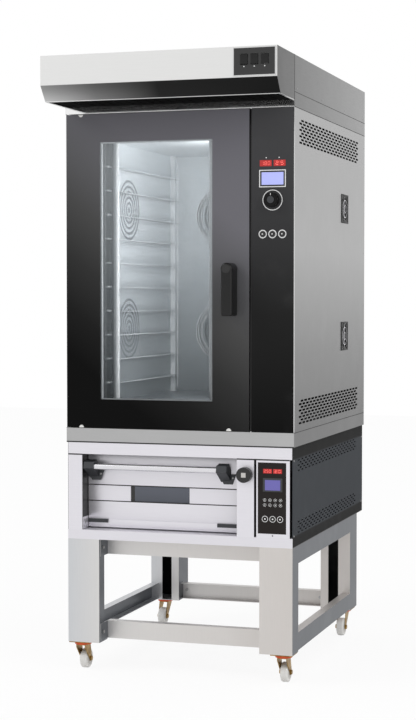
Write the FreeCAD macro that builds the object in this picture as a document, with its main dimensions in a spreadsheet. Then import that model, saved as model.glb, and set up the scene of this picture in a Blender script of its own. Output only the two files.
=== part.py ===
import FreeCAD, Part
import os
import re

import Sketcher

# A bakery stack: extraction hood, convection oven, deck oven and rolling stand.
# Millimetres. X runs to the right, Y to the rear and Z up, from the floor under the middle of the stack.

SIZES = {
    # Whole stack
    "oven_width": 920,
    "oven_depth": 1208,
    "hood_reach": 246,
    "caster_height": 116,
    "leg_height": 407,
    "deck_height": 381,
    "oven_base_height": 54,
    "door_bay_height": 1220,
    "header_height": 55,
    "hood_height": 138,
    "case_sheet": 2,
    "lower_inset": 5,
    # Stand
    "stand_rear_step": 104,
    "stand_sheet": 2.5,
    "leg_width": 130,
    "leg_depth": 88,
    "leg_return": 55,
    "rear_leg_depth": 130,
    "outer_lip": 52,
    "inner_lip": 34,
    "top_rail_height": 68,
    "bottom_rail_height": 69,
    "bottom_rail_rise": 5,
    "rail_flange": 35,
    "rail_tab_start": 12,
    "bolt_radius": 6.5,
    "bolt_rise": 5,
    # Casters
    "wheel_radius": 38,
    "wheel_width": 30,
    "wheel_rounding": 7,
    "caster_inset": 45,
    "caster_trail": 32,
    "axle_radius": 6,
    "axle_head_radius": 9,
    "axle_head_rise": 5,
    "fork_sheet": 3,
    "fork_side_gap": 1.5,
    "fork_crown_length": 54,
    "fork_foot": 11,
    "king_pin_radius": 6,
    "king_head_radius": 10,
    "king_head_rise": 3,
    "swivel_gap": 0.4,
    "caster_plate_width": 86,
    "caster_plate_length": 84,
    "caster_plate_thickness": 4,
    "bearing_radius": 24,
    "bearing_height": 10,
    "dust_ring_width": 9,
    "dust_ring_height": 10,
    "running_clearance": 0.05,
    # Deck oven
    "deck_rear_step": 8,
    "deck_sill_height": 37,
    "deck_head_height": 47,
    "deck_post_width": 60,
    "deck_column_width": 68,
    "deck_column_gap": 9,
    "deck_control_width": 131,
    "deck_control_margin": 11,
    "deck_control_left_rim": 6,
    "deck_control_right_rim": 14,
    "deck_control_top_rim": 12,
    "deck_control_foot": 15,
    "deck_recess": 61,
    "deck_door_thickness": 45,
    "deck_door_gap": 2.5,
    "deck_door_rise": 5,
    "deck_door_seat": 2,
    "deck_door_skin": 3,
    "door_groove_width": 3,
    "door_groove_depth": 1.5,
    "deck_window_width": 242,
    "deck_window_height": 60,
    "deck_window_left": 177.5,
    "deck_window_rise": 105,
    "deck_glass_thickness": 5,
    "deck_glass_lap": 8,
    "chamber_sheet": 2,
    "chamber_side_margin": 24,
    "chamber_sill": 38,
    "chamber_head": 26,
    "chamber_depth": 900,
    "stone_thickness": 20,
    "stone_ledge": 16,
    "stone_ledge_rise": 24,
    "stone_margin": 2,
    "heater_radius": 5,
    "heater_drop": 14,
    "heater_spread": 90,
    "heater_pitch": 190,
    "heater_length": 780,
    "deck_handle_radius": 12,
    "deck_handle_reach": 52,
    "deck_handle_drop": 44,
    "deck_arm_width": 41,
    "deck_arm_inset": 5.5,
    "deck_right_arm_inset": 37.5,
    "deck_arm_foot": 50,
    "arm_plate_thickness": 10,
    "arm_plate_drop": 18,
    "arm_plate_height": 39,
    "arm_plate_inner_lap": 20,
    "arm_plate_outer_lap": 4,
    "arm_plate_taper": 13,
    "left_strap_length": 82,
    "right_strap_length": 93,
    "strap_height": 14,
    "strap_thickness": 6,
    "strap_rise": 18,
    "deck_pin_radius": 5,
    "deck_pin_length": 15,
    "deck_pin_setback": 5,
    "deck_pin_rise": 10,
    "damper_knob_radius": 29,
    "damper_knob_depth": 25,
    "damper_knob_drop": 60,
    "damper_spindle_radius": 4,
    "damper_spindle_length": 70,
    "knob_gap": 3,
    "gland_radius": 16,
    "gland_neck_radius": 12,
    "gland_bore_radius": 6.5,
    "gland_length": 28,
    "gland_inset": 100,
    # Oven case and cavity
    "front_frame_setback": 62,
    "front_frame_sheet": 4,
    "control_width": 167,
    "door_seam": 9,
    "cavity_left_margin": 140,
    "cavity_right_margin": 149,
    "cavity_bottom_margin": 102,
    "cavity_top_margin": 98,
    "cavity_depth": 912,
    "cavity_sheet": 2,
    "cavity_flange": 22,
    "gasket_width": 14,
    "gasket_height": 5,
    "gasket_margin": 6,
    "baffle_setback": 834,
    "baffle_sheet": 2,
    "rack_post": 20,
    "rack_post_length": 14,
    "rack_guide": 20,
    "rack_guide_sheet": 2,
    "rack_margin": 44,
    "rack_first_rise": 70,
    "rack_pitch": 94,
    # Convection fans
    "fan_spacing": 500,
    "fan_radius": 118,
    "fan_depth": 56,
    "fan_gap": 8,
    "fan_sheet": 2,
    "fan_blade_length": 46,
    "fan_ring_width": 22,
    "fan_hub_radius": 22,
    "fan_shaft_radius": 8,
    "fan_shaft_engagement": 40,
    "guard_radius": 130,
    "guard_wire": 4,
    "guard_pitch": 16,
    "motor_radius": 65,
    "motor_length": 140,
    "ring_heater_radius": 146,
    "ring_heater_tube": 5,
    "ring_heater_lead": 4,
    "ring_heater_setback": 30,
    # Oven door
    "door_thickness": 56,
    "door_edge_gap": 2,
    "door_sill_gap": 2.5,
    "door_glass_thickness": 6,
    "door_sheet": 2,
    "door_window_margin": 8,
    "inner_glass_thickness": 5,
    "inner_glass_setback": 3,
    "hinge_block": 34,
    "hinge_inset": 17,
    "hinge_setback": 24,
    "hinge_pin_radius": 6,
    "hinge_pin_length": 16,
    "handle_spindle_inset": 62,
    "handle_spindle_rise": 616,
    "handle_spindle_radius": 8,
    "handle_spindle_length": 46,
    "handle_bush_radius": 14,
    "handle_glass_gap": 0.6,
    "handle_width": 44,
    "handle_length": 200,
    "handle_depth": 73,
    "handle_wall": 5,
    "handle_stand_off": 24,
    "handle_boss_radius": 23,
    "handle_rounding": 9,
    # Oven controls
    "panel_thickness": 4,
    "knob_radius": 27,
    "knob_depth": 24,
    "knob_shaft_radius": 3,
    "knob_shaft_length": 20,
    "knob_rise": 874,
    "knob_offset": 82,
    "button_radius": 11,
    "button_depth": 3,
    "button_gap": 2.2,
    "button_stem_radius": 4,
    "button_stem_length": 14,
    "button_rise": 747,
    "button_pitch": 38,
    "display_rise": 1,
    "led_width": 46,
    "led_height": 23,
    "led_level": 1012,
    "led_spread": 53,
    "lcd_width": 103,
    "lcd_height": 65,
    "lcd_level": 954,
    "deck_led_width": 38,
    "deck_led_height": 17,
    "deck_led_drop": 45,
    "deck_led_spread": 43,
    "deck_lcd_width": 74,
    "deck_lcd_height": 48,
    "deck_lcd_drop": 95,
    # Ventilation
    "vent_slot_length": 42,
    "vent_slot_height": 8,
    "vent_column_pitch": 55,
    "vent_row_pitch": 12,
    "vent_columns": 18,
    "vent_rows": 8,
    "vent_start": 91,
    "vent_top_drop": 182,
    "vent_bottom_rise": 32,
    "deck_vent_rows": 5,
    "deck_vent_pitch": 10,
    "deck_vent_drop": 54,
    "deck_vent_rise": 14,
    "deck_slot_length": 28,
    "deck_slot_height": 5.5,
    "cooling_fan_size": 120,
    "cooling_fan_depth": 38,
    "cooling_duct_radius": 56,
    "cooling_hub_radius": 20,
    "cooling_shaft_radius": 3,
    "cooling_tip_gap": 2,
    "cooling_strut": 8,
    "cooling_strut_depth": 4,
    "cooling_rotor_depth": 26,
    "cooling_blade_sheet": 2,
    "cooling_setback": 823,
    "cooling_low_rise": 350,
    "cooling_spacing": 533,
    # Hood
    "hood_sheet": 1.5,
    "fascia_height": 110,
    "chin_height": 57,
    "chin_depth": 47,
    "filter_thickness": 5,
    "filter_slot_width": 8,
    "filter_slot_pitch": 40,
    "filter_slot_margin": 40,
    "switch_plate_width": 157,
    "switch_plate_height": 100,
    "switch_plate_margin": 6,
    "switch_plate_thickness": 2,
    "rocker_width": 27,
    "rocker_height": 35,
    "rocker_rise": 4,
    "rocker_depth": 12,
    "rocker_pitch": 39,
    "rocker_gap": 0.5,
    "rocker_end_gap": 2,
    "rocker_lift": 8,
    "outlet_radius": 50,
    "blower_radius": 150,
    "blower_height": 70,
    "blower_motor_radius": 50,
    "blower_motor_height": 40,
    "blower_shaft_radius": 6,
    "blower_gap": 4,
}

TRAY_LEVELS = 10
FAN_BLADES = 12
COOLING_BLADES = 7
HAIRPINS = 3
GUARD_RINGS = 6

doc = FreeCAD.newDocument("bakery_oven")
sheet = doc.addObject("Spreadsheet::Sheet", "Sizes")
for row, (alias, size) in enumerate(SIZES.items(), start=1):
    sheet.set(f"A{row}", alias)
    sheet.set(f"B{row}", str(size))
    sheet.setAlias(f"B{row}", alias)
doc.recompute()

NODES = []
NORMAL = {"XY": "z", "XZ": "y", "YZ": "x"}
ALONG = {
    "x": FreeCAD.Rotation(FreeCAD.Vector(0, 1, 0), 90),
    "y": FreeCAD.Rotation(FreeCAD.Vector(1, 0, 0), -90),
    "z": FreeCAD.Rotation(),
}

# Planes that the pieces share
LEFT = "(-oven_width / 2)"
RIGHT = "(oven_width / 2)"
FRONT = "((hood_reach + switch_plate_thickness + rocker_rise - oven_depth) / 2)"
REAR = f"({FRONT} + oven_depth)"
DECK_DEPTH = "(oven_depth - deck_rear_step)"
STAND_DEPTH = f"({DECK_DEPTH} - stand_rear_step)"
STAND_TOP = "(caster_height + leg_height)"
DECK_TOP = f"({STAND_TOP} + deck_height)"
SILL = f"({DECK_TOP} + oven_base_height)"
HEADER = f"({SILL} + door_bay_height)"
HOOD_FLOOR = f"({HEADER} + header_height)"
TOP = f"({HOOD_FLOOR} + hood_height)"


def formula(text):
    """Point each size named in a formula at its cell in the sheet."""
    return re.sub(r"[a-z_]+", lambda word: f"Sizes.{word[0]}" if word[0] in SIZES else word[0], text)


def bind(item, path, text):
    """Tie one property of an object to a formula."""
    item.setExpression(path, formula(text))


def number(text):
    """The present value of a formula."""
    return float(sheet.evalExpression(text))


def back(distance):
    """A plane behind the oven's front face."""
    return f"({FRONT} + {distance})"


def about(middle, half):
    """The span that reaches as far to both sides of a middle."""
    return (f"{middle} - ({half})", f"{middle} + ({half})")


def place(item, axes, texts):
    """Tie the place of an object along the given axes."""
    for axis, text in zip(axes, texts):
        bind(item, f"Placement.Base.{axis}", text)


def box(x, y, z):
    """A block between a low and a high plane along each axis."""
    block = doc.addObject("Part::Box", "block")
    for side, (low, high) in zip(("Length", "Width", "Height"), (x, y, z)):
        bind(block, side, f"({high}) - ({low})")
    place(block, "xyz", (x[0], y[0], z[0]))
    return block


def rod(axis, centre, radius, span):
    """A round bar along an axis; the centre lies across it, in the order of the other two axes."""
    cylinder = doc.addObject("Part::Cylinder", "cylinder")
    cylinder.Placement = FreeCAD.Placement(FreeCAD.Vector(), ALONG[axis])
    bind(cylinder, "Radius", radius)
    bind(cylinder, "Height", f"({span[1]}) - ({span[0]})")
    place(cylinder, "xyz".replace(axis, ""), centre)
    bind(cylinder, f"Placement.Base.{axis}", span[0])
    return cylinder


def fuse(*pieces):
    """One solid from pieces that meet."""
    joined = doc.addObject("Part::MultiFuse", "joined")
    joined.Shapes = list(pieces)
    joined.Refine = True
    return joined


def group(*pieces):
    """Several solids that stay apart."""
    kept = doc.addObject("Part::Compound", "kept")
    kept.Links = list(pieces)
    return kept


def cut(base, *tools):
    """A piece with other shapes taken out of it."""
    carved = doc.addObject("Part::Cut", "carved")
    carved.Base = base
    carved.Tool = tools[0] if len(tools) == 1 else group(*tools)
    return carved


def ring(axis, centre, inner, outer, span):
    """A flat or deep ring along an axis."""
    return cut(rod(axis, centre, outer, span), rod(axis, centre, inner, span))


def rounded(base, radius, choose):
    """A piece with some of its edges rounded."""
    doc.recompute()
    picked = [index for index, edge in enumerate(base.Shape.Edges, start=1) if choose(edge)]
    smooth = doc.addObject("Part::Fillet", "smooth")
    smooth.Base = base
    smooth.Edges = [(index, number(radius), number(radius)) for index in picked]
    return smooth


def node(name, *pieces):
    """Name a finished piece, or a group of separate like pieces, as a node."""
    item = pieces[0] if len(pieces) == 1 else group(*pieces)
    item.Label = name
    NODES.append(item)
    return item


def origin_part(body, role):
    """An origin plane or axis of a body."""
    return next(item for item in body.Origin.OriginFeatures if item.Role == role)


def new_sketch(body, plane, lift="0"):
    """An empty sketch on a body's origin plane, lifted off it along the normal."""
    sketch = body.newObject("Sketcher::SketchObject", "sketch")
    sketch.AttachmentSupport = (origin_part(body, f"{plane}_Plane"), "")
    sketch.MapMode = "FlatFace"
    bind(sketch, "AttachmentOffset.Base.z", lift)
    return sketch


def hold(sketch, kind, text, value, *where):
    """Add a dimension to a sketch and tie it to a formula."""
    index = sketch.addConstraint(Sketcher.Constraint(kind, *where, value))
    bind(sketch, f"Constraints[{index}]", text)


def draw_polygon(sketch, corners):
    """Draw a closed outline through corners whose two places are formulas."""
    points = [FreeCAD.Vector(number(first), number(second), 0) for first, second in corners]
    first_edge = sketch.GeometryCount
    for start, end in zip(points, points[1:] + points[:1]):
        sketch.addGeometry(Part.LineSegment(start, end), False)
    for step, (point, corner) in enumerate(zip(points, corners)):
        edge = first_edge + step
        before = first_edge + (step - 1) % len(points)
        sketch.addConstraint(Sketcher.Constraint("Coincident", before, 2, edge, 1))
        hold(sketch, "DistanceX", corner[0], point.x, -1, 1, edge, 1)
        hold(sketch, "DistanceY", corner[1], point.y, -1, 1, edge, 1)


def draw_circle(sketch, radius):
    """Draw a circle about the sketch's origin."""
    middle = FreeCAD.Vector(0, 0, 0)
    index = sketch.addGeometry(Part.Circle(middle, FreeCAD.Vector(0, 0, 1), number(radius)), False)
    sketch.addConstraint(Sketcher.Constraint("Coincident", index, 3, -1, 1))
    hold(sketch, "Radius", radius, number(radius), index)


def pad(body, sketch, length, backwards=False):
    """Raise a sketch into a solid."""
    raised = body.newObject("PartDesign::Pad", "raised")
    raised.Profile = sketch
    raised.Reversed = backwards
    bind(raised, "Length", length)
    return raised


def bar(plane, corners, span):
    """A straight bar of polygon section, drawn on a plane and running along its normal."""
    body = doc.addObject("PartDesign::Body", "body")
    sketch = new_sketch(body, plane)
    draw_polygon(sketch, corners)
    pad(body, sketch, f"({span[1]}) - ({span[0]})", backwards=plane == "XZ")
    bind(body, f"Placement.Base.{NORMAL[plane]}", span[0])
    return body


def slot_wire(along, height, length, thick, plane_x):
    """A round-ended slot outline on a plane across X, centred at a place along Y and Z."""
    reach = (length - thick) / 2
    radius = thick / 2

    def at(y_step, z_step):
        return FreeCAD.Vector(plane_x, along + y_step, height + z_step)

    edges = [
        Part.LineSegment(at(-reach, radius), at(reach, radius)).toShape(),
        Part.Arc(at(reach, radius), at(reach + radius, 0), at(reach, -radius)).toShape(),
        Part.LineSegment(at(reach, -radius), at(-reach, -radius)).toShape(),
        Part.Arc(at(-reach, -radius), at(-reach - radius, 0), at(-reach, radius)).toShape(),
    ]
    return Part.Wire(edges)


def slot_field(kind, plane_x, first_y, low_z, rows, columns, row_pitch):
    """Staggered rows of slots on a plane across X."""
    length = number(f"{kind}_length")
    thick = number(f"{kind}_height")
    column_pitch = number("vent_column_pitch")
    wires = []
    for row_index in range(rows):
        stagger = column_pitch / 2 * (row_index % 2)
        for column in range(columns):
            along = first_y + stagger + column * column_pitch
            wires.append(slot_wire(along, low_z + row_index * row_pitch, length, thick, plane_x))
    return wires


def punched_panel(x, y, z, holes):
    """An upright side panel with holes punched through it."""
    low_x, high_x = number(x[0]), number(x[1])
    low_y, high_y = number(y[0]), number(y[1])
    low_z, high_z = number(z[0]), number(z[1])
    corners = [(low_y, low_z), (high_y, low_z), (high_y, high_z), (low_y, high_z), (low_y, low_z)]
    edge = Part.makePolygon([FreeCAD.Vector(low_x, *corner) for corner in corners])
    face = Part.makeFace([edge] + holes(low_x), "Part::FaceMakerBullseye")
    panel = doc.addObject("Part::Feature", "panel")
    panel.Shape = face.extrude(FreeCAD.Vector(high_x - low_x, 0, 0))
    return panel


# Stand

LEG_IN = "(oven_width / 2 - lower_inset - leg_width)"
STAND_SIDE = "(oven_width / 2 - lower_inset)"


def stand_leg(side, corners, from_rear):
    """One folded leg with a welded foot; its section is given from its outer corner."""
    start = STAND_DEPTH if from_rear else "0"
    sign = "-" if from_rear else "+"
    section = [
        (f"{side} * ({STAND_SIDE} - ({across}))", back(f"{start} {sign} ({depth})"))
        for across, depth in corners
    ]
    channel = bar("XY", section, ("caster_height", STAND_TOP))
    foot_x = (LEG_IN, STAND_SIDE) if side > 0 else (f"-{STAND_SIDE}", f"-{LEG_IN}")
    foot_y = (FRONT, back("leg_depth"))
    if from_rear:
        foot_y = (back(f"{STAND_DEPTH} - rear_leg_depth"), back(STAND_DEPTH))
    foot = box(foot_x, foot_y, ("caster_height", "caster_height + stand_sheet"))
    return fuse(channel, foot)


def build_legs():
    """Front legs open to the rear and rear legs open to the front."""
    thin = "stand_sheet"
    front = [
        ("0", "0"),
        ("leg_width", "0"),
        ("leg_width", "leg_return"),
        (f"leg_width - {thin}", "leg_return"),
        (f"leg_width - {thin}", thin),
        (thin, thin),
        (thin, f"leg_depth - {thin}"),
        ("outer_lip", f"leg_depth - {thin}"),
        ("outer_lip", "leg_depth"),
        ("0", "leg_depth"),
    ]
    rear = [
        ("0", "0"),
        ("leg_width", "0"),
        ("leg_width", "rear_leg_depth"),
        ("leg_width - inner_lip", "rear_leg_depth"),
        ("leg_width - inner_lip", f"rear_leg_depth - {thin}"),
        (f"leg_width - {thin}", f"rear_leg_depth - {thin}"),
        (f"leg_width - {thin}", thin),
        (thin, thin),
        (thin, f"rear_leg_depth - {thin}"),
        ("outer_lip", f"rear_leg_depth - {thin}"),
        ("outer_lip", "rear_leg_depth"),
        ("0", "rear_leg_depth"),
    ]
    legs = [stand_leg(side, front, False) for side in (-1, 1)]
    legs += [stand_leg(side, rear, True) for side in (-1, 1)]
    node("stand_legs", *legs)


def channel_flanges(x, y, z):
    """The lower and upper flanges of a rail."""
    lower = box(x, y, (z[0], f"{z[0]} + stand_sheet"))
    upper = box(x, y, (f"{z[1]} - stand_sheet", z[1]))
    return [lower, upper]


def front_rail(z):
    """The front cross rail, with tabs that turn forward against the legs."""
    across = (f"-{LEG_IN}", LEG_IN)
    web = box(across, (back("leg_depth"), back("leg_depth + stand_sheet")), z)
    flanges = channel_flanges(across, (back("leg_depth"), back("leg_depth + rail_flange")), z)
    tab_y = (back("rail_tab_start"), back("leg_depth + stand_sheet"))
    left_tab = box((f"-{LEG_IN}", f"-{LEG_IN} + stand_sheet"), tab_y, z)
    right_tab = box((f"{LEG_IN} - stand_sheet", LEG_IN), tab_y, z)
    return fuse(web, *flanges, left_tab, right_tab)


REAR_RAIL = f"({STAND_DEPTH} - rear_leg_depth / 2)"


def rear_rail(z):
    """The rear cross rail, open to the front."""
    across = (f"-{LEG_IN}", LEG_IN)
    web = box(across, (back(f"{REAR_RAIL} - stand_sheet"), back(REAR_RAIL)), z)
    flanges = channel_flanges(across, (back(f"{REAR_RAIL} - rail_flange"), back(REAR_RAIL)), z)
    return fuse(web, *flanges)


def side_rail(side, z):
    """A side rail between the front and the rear leg, flush with their outer faces."""
    along = (back("leg_depth"), back(f"{STAND_DEPTH} - rear_leg_depth"))
    outer = STAND_SIDE
    if side < 0:
        web_x = (f"-{outer}", f"-{outer} + stand_sheet")
        flange_x = (f"-{outer}", f"-{outer} + rail_flange")
    else:
        web_x = (f"{outer} - stand_sheet", outer)
        flange_x = (f"{outer} - rail_flange", outer)
    return fuse(box(web_x, along, z), *channel_flanges(flange_x, along, z))


RAIL_LEVELS = (
    (f"({STAND_TOP} - top_rail_height)", STAND_TOP),
    (
        "(caster_height + bottom_rail_rise)",
        "(caster_height + bottom_rail_rise + bottom_rail_height)",
    ),
)


def build_rails():
    """Four rails at the top of the stand and four near its foot."""
    rails = []
    for z in RAIL_LEVELS:
        rails += [front_rail(z), rear_rail(z), side_rail(-1, z), side_rail(1, z)]
    node("stand_rails", *rails)


def build_bolts():
    """Bolt heads that hold the rail tabs and the rear rails to the legs."""
    heads = []
    for low, high in RAIL_LEVELS:
        level = f"({low} + {high}) / 2"
        tab_y = back("(rail_tab_start + leg_return) / 2")
        inner = f"{LEG_IN} - stand_sheet"
        heads.append(rod("x", (tab_y, level), "bolt_radius", (f"-({inner})", f"-({inner}) + bolt_rise")))
        heads.append(rod("x", (tab_y, level), "bolt_radius", (f"{inner} - bolt_rise", inner)))
        face = back(f"{REAR_RAIL} - stand_sheet")
        for side in (-1, 1):
            across = f"{side} * ({LEG_IN} - rail_flange / 2)"
            heads.append(rod("y", (across, level), "bolt_radius", (f"{face} - bolt_rise", face)))
    node("stand_bolts", *heads)


# Casters, each named with its side, its row and the way its wheel trails

CASTERS = {
    "front_left": (-1, "leg_depth / 2", 1),
    "front_right": (1, "leg_depth / 2", 1),
    "rear_left": (-1, f"{STAND_DEPTH} - rear_leg_depth / 2", -1),
    "rear_right": (1, f"{STAND_DEPTH} - rear_leg_depth / 2", -1),
}
PLATE_BOTTOM = "(caster_height - caster_plate_thickness)"
BEARING_BOTTOM = f"({PLATE_BOTTOM} - bearing_height)"
CROWN_TOP = f"({BEARING_BOTTOM} - swivel_gap)"
CROWN_BOTTOM = f"({CROWN_TOP} - fork_sheet)"
FORK_IN = "(wheel_width / 2 + fork_side_gap)"
FORK_OUT = f"({FORK_IN} + fork_sheet)"


def caster_place(name):
    """The swivel axis of a caster and the way its wheel trails."""
    side, setback, trail = CASTERS[name]
    return f"({side} * ({STAND_SIDE} - caster_inset))", back(setback), trail


def caster_plate(name):
    """The plate under a leg, with the bearing and the king pin that the fork turns on."""
    x, y, _ = caster_place(name)
    plate = box(
        (f"{x} - caster_plate_width / 2", f"{x} + caster_plate_width / 2"),
        (f"{y} - caster_plate_length / 2", f"{y} + caster_plate_length / 2"),
        (PLATE_BOTTOM, "caster_height"),
    )
    bearing = rod("z", (x, y), "bearing_radius", (BEARING_BOTTOM, PLATE_BOTTOM))
    pin_foot = f"({CROWN_BOTTOM} - swivel_gap - king_head_rise)"
    pin = rod("z", (x, y), "king_pin_radius", (pin_foot, BEARING_BOTTOM))
    head = rod("z", (x, y), "king_head_radius", (pin_foot, f"{CROWN_BOTTOM} - swivel_gap"))
    return fuse(plate, bearing, pin, head)


def dust_ring(name):
    """The ring that covers the swivel bearing."""
    x, y, _ = caster_place(name)
    inner = "bearing_radius + running_clearance"
    outer = "bearing_radius + dust_ring_width"
    return ring("z", (x, y), inner, outer, (f"{PLATE_BOTTOM} - dust_ring_height", PLATE_BOTTOM))


def caster_fork(name):
    """The fork, with the axle bolt as a solid of its own."""
    x, y, trail = caster_place(name)
    axle_y = f"({y} + {trail} * caster_trail)"
    reach = f"{trail} * fork_crown_length / 2"
    crown = box(
        (f"{x} - {FORK_OUT}", f"{x} + {FORK_OUT}"),
        (f"{y} - fork_crown_length / 2", f"{y} + fork_crown_length / 2"),
        (CROWN_BOTTOM, CROWN_TOP),
    )
    cheek = [
        (f"{y} - {reach}", CROWN_TOP),
        (f"{y} + {reach}", CROWN_TOP),
        (f"{axle_y} + {trail} * fork_foot", "wheel_radius"),
        (f"{axle_y} + {trail} * fork_foot / 2", "wheel_radius - fork_foot"),
        (f"{axle_y} - {trail} * fork_foot / 2", "wheel_radius - fork_foot"),
        (f"{axle_y} - {trail} * fork_foot", "wheel_radius"),
        (f"{y} - {reach}", f"{CROWN_TOP} - fork_foot"),
    ]
    left = bar("YZ", cheek, (f"{x} - {FORK_OUT}", f"{x} - {FORK_IN}"))
    right = bar("YZ", cheek, (f"{x} + {FORK_IN}", f"{x} + {FORK_OUT}"))
    pin_hole = rod(
        "z", (x, y), "king_pin_radius + running_clearance",
        (f"{CROWN_BOTTOM} - fork_sheet", f"{CROWN_TOP} + fork_sheet"),
    )
    axle_hole = rod(
        "x", (axle_y, "wheel_radius"), "axle_radius + running_clearance",
        (f"{x} - 2 * {FORK_OUT}", f"{x} + 2 * {FORK_OUT}"),
    )
    fork = cut(fuse(crown, left, right), pin_hole, axle_hole)
    spot = (axle_y, "wheel_radius")
    shank = rod("x", spot, "axle_radius", (f"{x} - {FORK_OUT}", f"{x} + {FORK_OUT}"))
    head = rod("x", spot, "axle_head_radius", (f"{x} - {FORK_OUT} - axle_head_rise", f"{x} - {FORK_OUT}"))
    nut = rod("x", spot, "axle_head_radius", (f"{x} + {FORK_OUT}", f"{x} + {FORK_OUT} + axle_head_rise"))
    return [fork, fuse(shank, head, nut)]


def caster_wheel(name):
    """A nylon wheel with a rounded tread and a plain bore."""
    x, y, trail = caster_place(name)
    spot = (f"{y} + {trail} * caster_trail", "wheel_radius")
    span = (f"{x} - wheel_width / 2", f"{x} + wheel_width / 2")
    disc = ring("x", spot, "axle_radius + running_clearance", "wheel_radius", span)
    radius = number("wheel_radius")

    def is_rim(edge):
        return hasattr(edge.Curve, "Radius") and abs(edge.Curve.Radius - radius) < radius / 100

    return rounded(disc, "wheel_rounding", is_rim)


def build_casters():
    """Plates and dust rings stay with the stand; each fork and each wheel turns by itself."""
    node("caster_plates", *[caster_plate(name) for name in CASTERS])
    node("caster_dust_rings", *[dust_ring(name) for name in CASTERS])
    for name in CASTERS:
        node(f"caster_fork_{name}", *caster_fork(name))
        node(f"caster_wheel_{name}", caster_wheel(name))


# Deck oven

DECK_LEFT = f"({LEFT} + lower_inset)"
DECK_RIGHT = f"({RIGHT} - lower_inset)"
DECK_SILL = f"({STAND_TOP} + deck_sill_height)"
DECK_HEAD = f"({DECK_TOP} - deck_head_height)"
CONTROL_RIGHT = f"({DECK_RIGHT} - deck_control_margin)"
CONTROL_LEFT = f"({CONTROL_RIGHT} - deck_control_width)"
COLUMN_RIGHT = f"({CONTROL_LEFT} - deck_column_gap)"
COLUMN_LEFT = f"({COLUMN_RIGHT} - deck_column_width)"
POST_RIGHT = f"({DECK_LEFT} + deck_post_width)"
CHAMBER_FRONT = "(deck_recess + deck_door_thickness + deck_door_seat)"
DOOR_LEFT = f"({POST_RIGHT} + deck_door_gap)"
DOOR_RIGHT = f"({COLUMN_LEFT} - deck_door_gap)"
DOOR_LOW = f"({DECK_SILL} + deck_door_rise)"
DOOR_HIGH = f"({DECK_HEAD} - deck_door_rise)"
DECK_INNER = (f"{DECK_LEFT} + case_sheet", f"{DECK_RIGHT} - case_sheet")


def build_deck_case():
    """Base pan with its folded sill, perforated sides, and one sheet for the top and the rear."""
    wide = (DECK_LEFT, DECK_RIGHT)
    floor = box(wide, (FRONT, back(DECK_DEPTH)), (STAND_TOP, f"{STAND_TOP} + case_sheet"))
    lip = box(wide, (FRONT, back("case_sheet")), (STAND_TOP, DECK_SILL))
    shelf = box(DECK_INNER, (FRONT, back(CHAMBER_FRONT)), (f"{DECK_SILL} - case_sheet", DECK_SILL))
    node("deck_base_pan", fuse(floor, lip, shelf))

    side_y = (back("case_sheet"), back(f"{DECK_DEPTH} - case_sheet"))
    side_z = (f"{STAND_TOP} + case_sheet", f"{DECK_TOP} - case_sheet")
    first = number(back("vent_start"))
    columns = int(number("vent_columns"))
    rows = int(number("deck_vent_rows"))
    pitch = number("deck_vent_pitch")
    low = number(f"{DECK_SILL} + deck_vent_rise")
    high = number(f"{DECK_TOP} - deck_vent_drop") - (rows - 1) * pitch

    def deck_slots(plane_x):
        return [
            wire
            for level in (low, high)
            for wire in slot_field("deck_slot", plane_x, first, level, rows, columns, pitch)
        ]

    left = punched_panel((DECK_LEFT, f"{DECK_LEFT} + case_sheet"), side_y, side_z, deck_slots)
    right = punched_panel((f"{DECK_RIGHT} - case_sheet", DECK_RIGHT), side_y, side_z, deck_slots)
    node("deck_side_panels", left, right)

    top = box(wide, (back("case_sheet"), back(DECK_DEPTH)), (f"{DECK_TOP} - case_sheet", DECK_TOP))
    rear = box(
        wide, (back(f"{DECK_DEPTH} - case_sheet"), back(DECK_DEPTH)),
        (f"{STAND_TOP} + case_sheet", DECK_TOP),
    )
    node("deck_top_cover", fuse(top, rear))

    gland_x = f"{DECK_RIGHT} - gland_inset"
    gland_y = back(f"({STAND_DEPTH} + {DECK_DEPTH}) / 2")
    nut = rod("z", (gland_x, gland_y), "gland_radius", (f"{STAND_TOP} - gland_length / 2", STAND_TOP))
    neck = rod("z", (gland_x, gland_y), "gland_neck_radius", (f"{STAND_TOP} - gland_length", STAND_TOP))
    bore = rod("z", (gland_x, gland_y), "gland_bore_radius", (f"{STAND_TOP} - gland_length * 2", STAND_TOP))
    node("cable_gland", cut(fuse(nut, neck), bore))


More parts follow.
